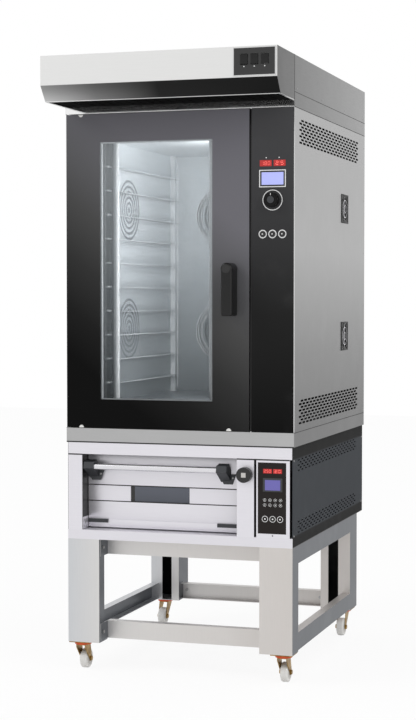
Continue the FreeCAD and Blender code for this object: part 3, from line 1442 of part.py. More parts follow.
def build_controls():
    """Control panels and displays of both ovens, the rotary knob and the three push buttons."""
    panel_x = (CONTROL_EDGE, f"{RIGHT} - case_sheet")
    blank = box(panel_x, (FRONT, back("panel_thickness")), (SILL, HEADER))
    holes = control_holes((f"{FRONT} - panel_thickness", back("2 * panel_thickness")))
    deck_panel = box(DECK_PANEL_X, (FRONT, back("panel_thickness")), DECK_PANEL_Z)
    node("control_panels", cut(blank, *holes), deck_panel)

    deck_mid = f"({CONTROL_LEFT} + {CONTROL_RIGHT}) / 2"
    windows = []
    for side in (-1, 1):
        across = f"{KNOB_SPOT[0]} + {side} * led_spread / 2"
        windows.append(display(across, f"{SILL} + led_level", "led_width", "led_height", FRONT))
        across = f"{deck_mid} + {side} * deck_led_spread / 2"
        level = f"{DECK_HEAD} - deck_led_drop"
        windows.append(display(across, level, "deck_led_width", "deck_led_height", FRONT))
    windows.append(display(KNOB_SPOT[0], f"{SILL} + lcd_level", "lcd_width", "lcd_height", FRONT))
    level = f"{DECK_HEAD} - deck_lcd_drop"
    windows.append(display(deck_mid, level, "deck_lcd_width", "deck_lcd_height", FRONT))
    node("display_windows", *windows)

    gap = f"({FRONT} - knob_gap)"
    knob = rod("y", KNOB_SPOT, "knob_radius", (f"{gap} - knob_depth", gap))
    shaft = rod("y", KNOB_SPOT, "knob_shaft_radius", (gap, back("knob_shaft_length")))
    node("control_knob", fuse(knob, shaft))

    for name, step in (("left", -1), ("middle", 0), ("right", 1)):
        spot = button_spot(step)
        under = f"({FRONT} - button_gap)"
        cap = rod("y", spot, "button_radius", (f"{under} - button_depth", under))
        stem = rod("y", spot, "button_stem_radius", (under, back("button_stem_length")))
        node(f"button_{name}", fuse(cap, stem))


def build_cooling_fans():
    """Square axial fans behind the right side panel, each with a rotor on its hub."""
    outer = f"({RIGHT} - case_sheet)"
    inner = f"({outer} - cooling_fan_depth)"
    strut_x = (inner, f"{inner} + cooling_strut_depth")
    half = "cooling_fan_size / 2"
    frames = []
    for name, level in COOLING_LEVELS.items():
        spot = (COOLING_Y, level)
        y = about(COOLING_Y, half)
        z = about(level, half)
        duct = rod("x", spot, "cooling_duct_radius", (f"{inner} - case_sheet", f"{outer} + case_sheet"))
        square = cut(box((inner, outer), y, z), duct)
        strut = "cooling_strut / 2"
        reach = "cooling_duct_radius + cooling_strut_depth / 2"
        flat = box(strut_x, about(COOLING_Y, reach), about(level, strut))
        upright = box(strut_x, about(COOLING_Y, strut), about(level, reach))
        hub = rod("x", spot, "cooling_hub_radius", strut_x)
        bore_x = (f"{inner} - case_sheet", f"{inner} + 2 * cooling_strut_depth")
        bore = rod("x", spot, "cooling_shaft_radius + running_clearance", bore_x)
        frames.append(cut(fuse(square, flat, upright, hub), bore))
        node(f"cooling_rotor_{name}", cooling_rotor(level))
    node("cooling_fan_frames", *frames)


def cooling_rotor(level):
    """A hub with flat blades, on a shaft in the fan frame's bearing."""
    body = doc.addObject("PartDesign::Body", "rotor")
    hub = new_sketch(body, "XY")
    draw_circle(hub, "cooling_hub_radius")
    pad(body, hub, "cooling_rotor_depth")
    blade = new_sketch(body, "XY", "cooling_tip_gap")
    half = "cooling_blade_sheet / 2"
    tip = "cooling_duct_radius - cooling_tip_gap"
    root = "cooling_hub_radius / 2"
    draw_polygon(blade, [(root, f"-{half}"), (tip, f"-{half}"), (tip, half), (root, half)])
    one_blade = pad(body, blade, "cooling_rotor_depth - 2 * cooling_tip_gap")
    doc.recompute()
    pattern = body.newObject("PartDesign::PolarPattern", "blades")
    pattern.Originals = [one_blade]
    pattern.Axis = (origin_part(body, "Z_Axis"), [""])
    pattern.Angle = 360
    pattern.Occurrences = COOLING_BLADES
    body.Tip = pattern
    stub = new_sketch(body, "XY")
    draw_circle(stub, "cooling_shaft_radius")
    pad(body, stub, "cooling_strut_depth + cooling_tip_gap", backwards=True)
    body.Placement = FreeCAD.Placement(FreeCAD.Vector(), ALONG["x"])
    rotor_x = f"{RIGHT} - case_sheet - cooling_fan_depth + cooling_strut_depth + cooling_tip_gap"
    place(body, "xyz", (rotor_x, COOLING_Y, level))
    return body


# Hood

HOOD_FRONT = f"({FRONT} - hood_reach)"
FASCIA_LOW = f"({TOP} - fascia_height)"
CHIN_LOW = f"({FASCIA_LOW} - chin_height)"
CHIN_BACK = f"({HOOD_FRONT} + chin_depth)"


def build_hood():
    """Rear hood body, front canopy, folded fascia and the slotted filter under the canopy."""
    thin = "hood_sheet"
    inner_x = (f"{LEFT} + {thin}", f"{RIGHT} - {thin}")
    block = box((LEFT, RIGHT), (FRONT, REAR), (HOOD_FLOOR, TOP))
    inner_y = (f"{FRONT} - {thin}", f"{REAR} - {thin}")
    hollow = box(inner_x, inner_y, (f"{HOOD_FLOOR} - {thin}", f"{TOP} - {thin}"))
    outlet_spot = ("0", f"({HOOD_FLOOR} + {TOP}) / 2")
    outlet = rod("y", outlet_spot, "outlet_radius", (f"{REAR} - 2 * {thin}", f"{REAR} + {thin}"))
    node("hood_body", cut(block, fuse(hollow, outlet)))

    skin_front = f"{HOOD_FRONT} + {thin}"
    cap = [
        (FRONT, TOP),
        (skin_front, TOP),
        (skin_front, FASCIA_LOW),
        (f"{CHIN_BACK} + {thin}", CHIN_LOW),
        (FRONT, CHIN_LOW),
    ]
    left = bar("YZ", cap, (LEFT, f"{LEFT} + {thin}"))
    right = bar("YZ", cap, (f"{RIGHT} - {thin}", RIGHT))
    roof = box((LEFT, RIGHT), (skin_front, FRONT), (f"{TOP} - {thin}", TOP))
    node("hood_canopy", fuse(left, right, roof))

    fold = [
        (HOOD_FRONT, TOP),
        (HOOD_FRONT, FASCIA_LOW),
        (CHIN_BACK, CHIN_LOW),
        (f"{CHIN_BACK} + {thin}", CHIN_LOW),
        (skin_front, FASCIA_LOW),
        (skin_front, TOP),
    ]
    node("hood_fascia", cut(bar("YZ", fold, (LEFT, RIGHT)), *rocker_pockets()))

    sheet_y = (f"{CHIN_BACK} + {thin}", FRONT)
    sheet_body = box(inner_x, sheet_y, (CHIN_LOW, f"{CHIN_LOW} + filter_thickness"))
    slot_y = (f"{CHIN_BACK} + filter_slot_margin", f"{FRONT} - filter_slot_margin")
    slot_z = (HEADER, FASCIA_LOW)
    run = number(inner_x[1]) - number(inner_x[0]) - 2 * number("filter_slot_margin")
    count = int(run // number("filter_slot_pitch")) + 1
    slots = []
    for step in range(count):
        middle = f"({step} - {count - 1} / 2) * filter_slot_pitch"
        slots.append(box(about(middle, "filter_slot_width / 2"), slot_y, slot_z))
    node("hood_filter", cut(sheet_body, *slots))


SWITCH_X = (f"({RIGHT} - switch_plate_margin - switch_plate_width)", f"({RIGHT} - switch_plate_margin)")
SWITCH_LEVEL = f"({TOP} - fascia_height / 2)"
SWITCH_FACE = f"({HOOD_FRONT} - switch_plate_thickness)"
ROCKER_LEVEL = f"({SWITCH_LEVEL} + rocker_lift)"
ROCKER_STEPS = {"left": -1, "middle": 0, "right": 1}


def rocker_span(step, spare):
    """The two sides of a rocker, or of the pocket that it sits in."""
    middle = f"(({SWITCH_X[0]} + {SWITCH_X[1]}) / 2 + ({step}) * rocker_pitch)"
    return f"{middle} - rocker_width / 2 - {spare}", f"{middle} + rocker_width / 2 + {spare}"


def rocker_pockets():
    """Openings for the rockers through the switch plate and the fascia behind it."""
    half = "(rocker_height / 2 + rocker_end_gap)"
    return [
        box(
            rocker_span(step, "rocker_gap"),
            (f"{SWITCH_FACE} - rocker_rise", f"{HOOD_FRONT} + rocker_depth"),
            (f"{ROCKER_LEVEL} - {half}", f"{ROCKER_LEVEL} + {half}"),
        )
        for step in ROCKER_STEPS.values()
    ]


def build_switches():
    """The switch plate on the fascia and its three rockers."""
    plate_z = (f"{SWITCH_LEVEL} - switch_plate_height / 2", f"{SWITCH_LEVEL} + switch_plate_height / 2")
    node("switch_plate", cut(box(SWITCH_X, (SWITCH_FACE, HOOD_FRONT), plate_z), *rocker_pockets()))
    low = f"{ROCKER_LEVEL} - rocker_height / 2"
    high = f"{ROCKER_LEVEL} + rocker_height / 2"
    paddle = [
        (f"{SWITCH_FACE} - rocker_rise", high),
        (f"{SWITCH_FACE} - rocker_rise / 2", ROCKER_LEVEL),
        (f"{SWITCH_FACE} - rocker_rise", low),
        (HOOD_FRONT, low),
        (f"{HOOD_FRONT} + rocker_depth", ROCKER_LEVEL),
        (HOOD_FRONT, high),
    ]
    for name, step in ROCKER_STEPS.items():
        node(f"rocker_{name}", bar("YZ", paddle, rocker_span(step, "0")))


def build_all():
    """Build every sub-part, from the floor up."""
    build_legs()
    build_rails()
    build_bolts()
    build_casters()
    build_deck_case()
    build_deck_front()
    build_damper()
    build_chamber()
    build_heaters()
    build_deck_door()
    build_deck_handle()
    build_oven_case()
    build_front_frame()
    build_cavity()
    build_cavity_fittings()
    build_fans()
    build_oven_door()
    build_door_handle()
    build_hinge_pins()
    build_controls()
    build_cooling_fans()
    build_hood()
    build_switches()


def check_all():
    """Stop if any object failed or any sub-part has no sound solid."""
    doc.recompute()
    for item in doc.Objects:
        if "Invalid" in item.State or "Error" in item.State:
            raise RuntimeError(f"{item.Name} ({item.Label}) failed: {item.State}")
    for item in NODES:
        if item.Shape.isNull() or not item.Shape.isValid() or not item.Shape.Solids:
            raise RuntimeError(f"{item.Label} has no sound solid")


def write_all():
    """Write one file for each sub-part."""
    os.makedirs("parts", exist_ok=True)
    for item in NODES:
        item.Shape.exportStep(f"parts/{item.Label}.step")
    print(f"{len(NODES)} sub-parts written")


build_all()
check_all()
write_all()
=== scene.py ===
"""Looks of a bakery oven stack: hood, convection oven, deck oven and rolling stand.

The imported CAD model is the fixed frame. Each class dresses one sub-assembly: it gives the CAD nodes
their finishes and adds the small pieces that the solids leave out.
"""

import logging
import math
from dataclasses import dataclass
from enum import Enum
from functools import cached_property
from typing import Any, Dict, Sequence, Tuple, Union

import bmesh
import bpy
from mathutils import Matrix, Vector


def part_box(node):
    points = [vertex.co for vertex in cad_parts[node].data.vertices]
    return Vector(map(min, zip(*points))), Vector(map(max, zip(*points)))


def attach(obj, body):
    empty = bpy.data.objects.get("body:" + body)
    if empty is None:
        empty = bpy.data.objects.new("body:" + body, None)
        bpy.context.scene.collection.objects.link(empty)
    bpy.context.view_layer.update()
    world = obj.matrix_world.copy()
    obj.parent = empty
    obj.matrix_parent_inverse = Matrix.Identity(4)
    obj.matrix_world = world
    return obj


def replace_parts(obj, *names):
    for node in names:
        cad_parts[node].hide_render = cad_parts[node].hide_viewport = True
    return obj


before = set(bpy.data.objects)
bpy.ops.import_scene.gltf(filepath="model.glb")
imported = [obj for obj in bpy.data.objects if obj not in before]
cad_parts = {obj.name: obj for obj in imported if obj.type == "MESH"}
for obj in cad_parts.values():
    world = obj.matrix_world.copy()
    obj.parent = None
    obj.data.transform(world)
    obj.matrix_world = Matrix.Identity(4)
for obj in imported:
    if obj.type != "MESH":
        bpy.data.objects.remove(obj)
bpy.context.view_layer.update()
LOG = logging.getLogger("oven_stack")

MM = 0.001
Colour = Tuple[float, float, float]
Point = Tuple[float, float, float]
Span = Tuple[float, float]
Number = Union[float, "Value"]
WHITE = (1.0, 1.0, 1.0)


class Axis(Enum):
    """A direction of the model frame."""

    X = 0
    Y = 1
    Z = 2


class Body(Enum):
    """The CAD bodies that carry pieces of this script."""

    STACK = "stack"
    OVEN_DOOR = "oven_door"
    DOOR_HANDLE = "door_handle"
    DECK_DOOR = "deck_door"
    CONTROL_KNOB = "control_knob"
    DAMPER_KNOB = "damper_knob"


class Owner(Enum):
    """What a tree of shader nodes belongs to, with the type of its output node."""

    FINISH = "ShaderNodeOutputMaterial"
    ROOM = "ShaderNodeOutputWorld"


CASTER_SPOTS = ("front_left", "front_right", "rear_left", "rear_right")
BUTTONS = ("button_left", "button_middle", "button_right")
ROCKERS = ("rocker_left", "rocker_middle", "rocker_right")
COOLING_ROTORS = ("cooling_rotor_upper", "cooling_rotor_lower")
FAN_WHEELS = ("fan_wheel_upper", "fan_wheel_lower")

# The clear window of the oven door, in millimetres
WINDOW_X = (-318.0, 138.0)
WINDOW_Z = (1071.0, 2067.0)


def tone(red: int, green: int, blue: int) -> Colour:
    """A colour as a shader takes it, from the screen values that it should show.

    Args:
        red: Screen value from 0 to 255.
        green: Screen value from 0 to 255.
        blue: Screen value from 0 to 255.

    Returns:
        The same colour in linear light.
    """
    screen = [value / 255 for value in (red, green, blue)]
    return tuple(v / 12.92 if v <= 0.04045 else ((v + 0.055) / 1.055) ** 2.4 for v in screen)


def grey(level: int) -> Colour:
    """A neutral colour from one screen value."""
    return tone(level, level, level)


class Value:
    """One output of a shader node, used in sums like a Python number."""

    def __init__(self, graph: "Graph", socket: bpy.types.NodeSocket) -> None:
        """Wrap a socket of a graph."""
        self.graph = graph
        self.socket = socket

    def math(self, operation: str, first: Number, second: Number) -> "Value":
        """Add a Math node.

        Args:
            operation: The Math node's operation.
            first: The first operand.
            second: The second operand.

        Returns:
            The node's result.
        """
        return self.graph.node("ShaderNodeMath", {"operation": operation}, {0: first, 1: second})

    def __add__(self, other: Number) -> "Value":
        """This value plus another."""
        return self.math("ADD", self, other)

    def __radd__(self, other: Number) -> "Value":
        """Another value plus this."""
        return self.math("ADD", other, self)

    def __sub__(self, other: Number) -> "Value":
        """This value less another."""
        return self.math("SUBTRACT", self, other)

    def __rsub__(self, other: Number) -> "Value":
        """Another value less this."""
        return self.math("SUBTRACT", other, self)

    def __mul__(self, other: Number) -> "Value":
        """This value times another."""
        return self.math("MULTIPLY", self, other)

    def __rmul__(self, other: Number) -> "Value":
        """Another value times this."""
        return self.math("MULTIPLY", other, self)

    def around(self, level: float, swing: float) -> "Value":
        """A value from 0 to 1 as one that swings evenly about a level."""
        return level + (self - 0.5) * swing


# How far a face's normal leans to an axis, from where it starts to count as facing it to where it does
FACING_FADE = (0.6, 0.8)

# Brushed lines: cells per metre across them, and the factor on that along them
STREAK_CELLS = 900.0
STREAK_STRETCH = 0.012


class Graph:
    """The node tree of one finish, or of the room."""

    def __init__(self, name: str, owner: Owner = Owner.FINISH) -> None:
        """Start an empty material or world of that name."""
        self.output = owner.value
        room = owner is Owner.ROOM
        self.owner = bpy.data.worlds.new(name) if room else bpy.data.materials.new(name)
        self.owner.use_nodes = True
        self.tree = self.owner.node_tree
        self.tree.nodes.clear()

    @cached_property
    def place(self) -> Value:
        """The place on the model, in metres."""
        return self.node("ShaderNodeTexCoord", {}, {}, "Object")

    def node(
        self,
        kind: str,
        settings: Dict[str, Any],
        sockets: Dict[Union[int, str], Any],
        output: Union[int, str] = 0,
    ) -> Value:
        """Add any node.

        Args:
            kind: The node's type.
            settings: Its properties, set first; "stops" are a ramp's places and colours.
            sockets: The numbers, colours or values of its inputs.
            output: The output that is used.

        Returns:
            That output.
        """
        made = self.tree.nodes.new(kind)
        for key, setting in settings.items():
            if key == "stops":
                self.set_stops(made.color_ramp, setting)
            else:
                setattr(made, key, setting)
        for key, fed in sockets.items():
            self.feed(made.inputs[key], fed)
        return Value(self, made.outputs[output])

    def feed(self, socket: bpy.types.NodeSocket, fed: Any) -> None:
        """Link a value to a socket, or set the socket to a number or colour."""
        if isinstance(fed, Value):
            self.tree.links.new(fed.socket, socket)
        elif socket.type == "RGBA" and len(fed) == 3:
            socket.default_value = (*fed, 1.0)
        else:
            socket.default_value = fed

    @staticmethod
    def set_stops(ramp: bpy.types.ColorRamp, stops: Sequence[Tuple[float, Colour]]) -> None:
        """Give a ramp its places and colours, in rising order."""
        while len(ramp.elements) < len(stops):
            ramp.elements.new(1.0)
        for element, (where, colour) in zip(ramp.elements, stops):
            element.position = where
            element.color = (*colour, 1.0)

    def along(self, axis: Axis) -> Value:
        """The place on the model along one axis, in metres."""
        return self.node("ShaderNodeSeparateXYZ", {}, {0: self.place}, axis.value)

    def noise(self, scale: float, detail: float = 3.0, stretch: Point = (1.0, 1.0, 1.0)) -> Value:
        """Soft random values from 0 to 1.

        Args:
            scale: Cells per metre.
            detail: Octaves of finer noise.
            stretch: Factors on the scale along x, y and z.

        Returns:
            The noise.
        """
        mapped = self.node("ShaderNodeMapping", {}, {"Vector": self.place, "Scale": stretch})
        return self.node("ShaderNodeTexNoise", {}, {"Vector": mapped, "Scale": scale, "Detail": detail})

    def fade(self, value: Number, low: float, high: float) -> Value:
        """A smooth change from 0 to 1.

        Args:
            value: What the change follows.
            low: Where it starts.
            high: Where it ends.

        Returns:
            The changed value.
        """
        return self.node(
            "ShaderNodeMapRange",
            {"interpolation_type": "SMOOTHSTEP"},
            {"Value": value, "From Min": low, "From Max": high},
        )

    def streaks(self, grain: Axis) -> Value:
        """The fine brushed lines of sheet steel, along one axis."""
        stretch = [1.0, 1.0, 1.0]
        stretch[grain.value] = STREAK_STRETCH
        return self.noise(STREAK_CELLS, 4.0, tuple(stretch))

    def facing(self, axis: Axis, sign: int) -> Value:
        """A mask that is 1 on the faces that look along an axis of the model, or against it."""
        normal = self.node("ShaderNodeTexCoord", {}, {}, "Normal")
        part = self.node("ShaderNodeSeparateXYZ", {}, {0: normal}, axis.value)
        return self.fade(part * float(sign), *FACING_FADE)

    def band(self, axis: Axis, low: float, high: float, edge: float) -> Value:
        """A mask that is 1 between two places along an axis, in millimetres, with soft edges."""
        value = self.along(axis)
        rise = self.fade(value, (low - edge) * MM, (low + edge) * MM)
        fall = self.fade(value, (high - edge) * MM, (high + edge) * MM)
        return rise * (1.0 - fall)

    def mix(self, share: Number, first: Any, second: Any) -> Value:
        """Blend two colours; a share of 1 is all of the second."""
        return self.node("ShaderNodeMix", {"data_type": "RGBA"}, {0: share, 6: first, 7: second}, 2)

    def ramp(self, value: Number, stops: Sequence[Tuple[float, Colour]]) -> Value:
        """Colours along a value from 0 to 1."""
        return self.node("ShaderNodeValToRGB", {"stops": stops}, {"Fac": value})

    def bump(self, height: Number, distance: float, strength: float = 1.0) -> Value:
        """Small relief.

        Args:
            height: The relief from 0 to 1.
            distance: Its depth in millimetres.
            strength: How strongly it shows.

        Returns:
            The changed normal.
        """
        return self.node(
            "ShaderNodeBump", {}, {"Height": height, "Distance": distance * MM, "Strength": strength}
        )

    def surface(self, **sockets: Any) -> bpy.types.Material:
        """End the tree in one shader.

        Args:
            sockets: The shader's inputs, with underscores for spaces.

        Returns:
            The finished material.
        """
        named = {key.replace("_", " "): fed for key, fed in sockets.items()}
        self.end(self.node("ShaderNodeBsdfPrincipled", {}, named))
        return self.owner

    def end(self, shader: Value) -> None:
        """Link a shader to the tree's output."""
        made = self.tree.nodes.new(self.output)
        self.feed(made.inputs["Surface"], shader)


# Finishes


@dataclass(frozen=True)
class Tint:
    """A slow change of a finish along one axis, in millimetres: places with their colours, in order.

    The slant is how much each millimetre along X adds to the place.
    """

    axis: Axis
    stops: Tuple[Tuple[float, Colour], ...]
    slant: float = 0.0

    def colour(self, graph: Graph) -> Value:
        """The colour at each place of the surface."""
        low = self.stops[0][0]
        high = self.stops[-1][0]
        place = graph.along(self.axis)
        if self.slant:
            place = place + graph.along(Axis.X) * self.slant
        share = graph.node(
            "ShaderNodeMapRange", {}, {"Value": place, "From Min": low * MM, "From Max": high * MM}
        )
        return graph.ramp(share, [((where - low) / (high - low), shade) for where, shade in self.stops])


@dataclass(frozen=True)
class FacingPaintedShade:
    """Painted shade: a tone of its own on the faces that look one way, or on all the other faces, for the
    light that falls on them differently.
    """

    axis: Axis
    sign: int
    colour: Colour
    others: bool = False

    def mask(self, graph: Graph) -> Value:
        """Where the tone lies."""
        mask = graph.facing(self.axis, self.sign)
        return 1.0 - mask if self.others else mask


@dataclass(frozen=True)
class DepthPaintedShade:
    """Painted shade: a dark tone on the front-facing faces that lie deeper than a place, in millimetres,
    where a recess falls into shade.
    """

    place: float
    colour: Colour
    edge: float = 5.0

    def mask(self, graph: Graph) -> Value:
        """Where the tone lies."""
        edge = self.edge
        deep = graph.fade(graph.along(Axis.Y), (self.place - edge) * MM, (self.place + edge) * MM)
        return deep * graph.facing(Axis.Y, -1)


def tint_of(colour: Union[Colour, Tint], graph: Graph) -> Union[Colour, Value]:
    """A plain colour as it is, or a tint's colour at each place."""
    return colour.colour(graph) if isinstance(colour, Tint) else colour


# Colours of the brushed lines and the cloudy marks on steel, and of dust on paint
LINE_SHADE = (0.02, 0.02, 0.02)
MARK_SHADE = (0.95, 0.95, 0.96)
DUST = (0.7, 0.7, 0.7)


@dataclass(frozen=True)
class BrushedSteel:
    """Stainless sheet with a fine grain along one axis, faint cloudy marks, and painted shade on the faces
    that its painted shades pick.
    """

    name: str
    colour: Union[Colour, Tint]
    grain: Axis = Axis.X
    roughness: float = 0.34
    metallic: float = 0.85
    lines: float = 0.10
    marks: float = 0.04
    painted_shades: Tuple[Union[FacingPaintedShade, DepthPaintedShade], ...] = ()

    def material(self) -> bpy.types.Material:
        """Make the finish."""
        graph = Graph(self.name)
        streaks = graph.streaks(self.grain)
        clouds = graph.noise(5.0)
        base = tint_of(self.colour, graph)
        # Painted shade: darker or lighter tones laid on chosen faces for how the light falls on them
        for painted_tone in self.painted_shades:
            base = graph.mix(painted_tone.mask(graph), base, painted_tone.colour)
        shade = graph.mix(streaks * self.lines, base, LINE_SHADE)
        shade = graph.mix(graph.fade(clouds, 0.45, 0.75) * self.marks, shade, MARK_SHADE)
        rough = streaks.around(self.roughness, 0.12) + (clouds - 0.5) * 0.08
        return graph.surface(
            Base_Color=shade,
            Metallic=self.metallic,
            Roughness=rough,
            Normal=graph.bump(streaks, 0.02, 0.35),
        )


@dataclass(frozen=True)
class Paint:
    """Powder coat or enamel: fine orange peel and a little dust."""

    name: str
    colour: Union[Colour, Tint]
    roughness: float = 0.42
    peel: float = 0.03
    shine: float = 0.5
    dust: float = 0.015

    def material(self) -> bpy.types.Material:
        """Make the finish."""
        graph = Graph(self.name)
        peel = graph.noise(420.0, 2.0)
        dust = graph.noise(9.0, 4.0)
        shade = graph.mix(graph.fade(dust, 0.5, 0.8) * self.dust, tint_of(self.colour, graph), DUST)
        return graph.surface(
            Base_Color=shade,
            Roughness=dust.around(self.roughness, 0.12),
            Specular_IOR_Level=self.shine,
            Normal=graph.bump(peel, self.peel, 0.5),
        )


@dataclass(frozen=True)
class Plastic:
    """Moulded plastic with a fine spark-eroded grain."""

    name: str
    colour: Colour
    roughness: float = 0.45
    grain: float = 0.04
    shine: float = 0.5

    def material(self) -> bpy.types.Material:
        """Make the finish."""
        graph = Graph(self.name)
        grain = graph.noise(1500.0, 2.0)
        patch = graph.noise(18.0, 3.0)
        shade = graph.mix(patch * 0.10, self.colour, tuple(0.6 * part + 0.03 for part in self.colour))
        return graph.surface(
            Base_Color=shade,
            Roughness=patch.around(self.roughness, 0.10),
            Specular_IOR_Level=self.shine,
            Normal=graph.bump(grain, self.grain, 0.4),
        )


@dataclass(frozen=True)
class PassivatedZinc:
    """Zinc plate with a yellow chromate film that shifts in hue."""

    name: str
    deep: Colour
    pale: Colour

    def material(self) -> bpy.types.Material:
        """Make the finish."""
        graph = Graph(self.name)
        film = graph.noise(38.0, 3.0)
        fine = graph.noise(600.0, 2.0)
        shade = graph.mix(graph.fade(film, 0.3, 0.7), self.deep, self.pale)
        return graph.surface(
            Base_Color=shade,
            Metallic=0.8,
            Roughness=0.30 + fine * 0.15,
            Normal=graph.bump(fine, 0.02, 0.4),
        )


@dataclass(frozen=True)
class Stone:
    """Fired refractory slab with a sandy face and darker baking marks."""

    name: str
    colour: Colour
    scorch: Colour

    def material(self) -> bpy.types.Material:
        """Make the finish."""
        graph = Graph(self.name)
        sand = graph.noise(350.0, 4.0)
        marks = graph.noise(7.0, 4.0)
        shade = graph.mix(graph.fade(marks, 0.5, 0.75) * 0.6, self.colour, self.scorch)
        return graph.surface(Base_Color=shade, Roughness=0.9, Normal=graph.bump(sand, 0.4, 0.7))


@dataclass(frozen=True)
class HeaterSheath:
    """Oxidised sheath of a tube heater, with heat colours."""

    name: str
    colour: Colour
    blush: Colour

    def material(self) -> bpy.types.Material:
        """Make the finish."""
        graph = Graph(self.name)
        scale = graph.noise(260.0, 3.0)
        heat = graph.noise(12.0, 2.0)
        shade = graph.mix(graph.fade(heat, 0.4, 0.7) * 0.5, self.colour, self.blush)
        return graph.surface(
            Base_Color=shade,
            Metallic=0.6,
            Roughness=0.5 + scale * 0.2,
            Normal=graph.bump(scale, 0.05, 0.5),
        )


@dataclass(frozen=True)
class PrintedGlass:
    """A pane printed opaque round a clear window, with a painted reflection: the black print lightens up the
    height, and the window carries a tint that lightens upwards.
    """

    name: str
    print_and_reflection: Tint
    window_reflection: Tint
    window_x: Span
    window_z: Span
    veil: float
    print_edge: float = 0.6
    roughness: float = 0.06
    shine: float = 0.5

    def material(self) -> bpy.types.Material:
        """Make the finish."""
        graph = Graph(self.name)
        across = graph.band(Axis.X, *self.window_x, self.print_edge)
        window = across * graph.band(Axis.Z, *self.window_z, self.print_edge)
        haze = graph.noise(6.0)
        # Painted reflection: both tints follow the height rather than the pane's own colour
        shade = graph.mix(window, self.print_and_reflection.colour(graph), self.window_reflection.colour(graph))
        return graph.surface(
            Base_Color=shade,
            Roughness=self.roughness + haze * 0.04,
            Alpha=1.0 - window * (1.0 - self.veil) + window * (haze - 0.5) * 0.06,
            Specular_IOR_Level=self.shine,
        )


@dataclass(frozen=True)
class ClearGlass:
    """A plain see-through pane with a faint haze."""

    name: str
    colour: Colour
    veil: float
    roughness: float = 0.05

    def material(self) -> bpy.types.Material:
        """Make the finish."""
        graph = Graph(self.name)
        haze = graph.noise(8.0, 3.0)
        return graph.surface(
            Base_Color=self.colour,
            Roughness=self.roughness + haze * 0.05,
            Alpha=haze.around(self.veil, 0.06),
        )


@dataclass(frozen=True)
class Lens:
    """A lit display behind a tinted lens."""

    name: str
    colour: Colour
    glow: Colour
    strength: float

    def material(self) -> bpy.types.Material:
        """Make the finish."""
        graph = Graph(self.name)
        dots = graph.noise(700.0, 1.0)
        glow = graph.mix(dots * 0.35, self.glow, self.colour)
        return graph.surface(
            Base_Color=self.colour,
            Roughness=0.18 + dots * 0.06,
            Emission_Color=glow,
            Emission_Strength=self.strength,
        )


@dataclass(frozen=True)
class FasciaSteel:
    """Bright fascia sheet whose folded chin carries painted reflection that darkens from left to right, and
    painted shade that deepens towards the fold, in millimetres.
    """

    name: str
    front: Colour
    chin: Tint
    fold: float
    fold_shade_reach: float = 75.0
    fold_edge: float = 1.5
    deep: Colour = grey(18)
    line_shade: Colour = grey(40)

    def material(self) -> bpy.types.Material:
        """Make the finish."""
        graph = Graph(self.name)
        streaks = graph.streaks(Axis.X)
        height = graph.along(Axis.Z)
        under = 1.0 - graph.fade(height, (self.fold - self.fold_edge) * MM, self.fold * MM)
        # Painted shade towards the fold, laid over the chin's tint of painted reflection
        depth = graph.fade(height, (self.fold - self.fold_shade_reach) * MM, self.fold * MM)
        chin = graph.mix(depth * 0.55, self.chin.colour(graph), self.deep)
        shade = graph.mix(streaks * 0.06, graph.mix(under, self.front, chin), self.line_shade)
        return graph.surface(
            Base_Color=shade,
            Metallic=0.6 + under * 0.2,
            Roughness=0.32 + streaks * 0.1,
            Normal=graph.bump(streaks, 0.02, 0.3),
        )


Finish = Union[
    BrushedSteel, Paint, Plastic, PassivatedZinc, Stone, HeaterSheath, PrintedGlass, ClearGlass, Lens,
    FasciaSteel,
]


class Workshop:
    """Makes each finish once and puts it on nodes and pieces."""

    made: Dict[str, bpy.types.Material] = {}

    @classmethod
    def material(cls, finish: Finish) -> bpy.types.Material:
        """The material of a finish.

        Args:
            finish: The finish.

        Returns:
            Its material, made at the first call.
        """
        if finish.name not in cls.made:
            cls.made[finish.name] = finish.material()
        return cls.made[finish.name]

    @classmethod
    def dress(cls, finish: Finish, *names: str) -> None:
        """Put a finish on CAD nodes.

        Args:
            finish: The finish.
            names: The nodes.
        """
        for name in names:
            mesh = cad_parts[name].data
            mesh.materials.clear()
            mesh.materials.append(cls.material(finish))
            LOG.info("node %s takes %s", name, finish.name)


# Meshes


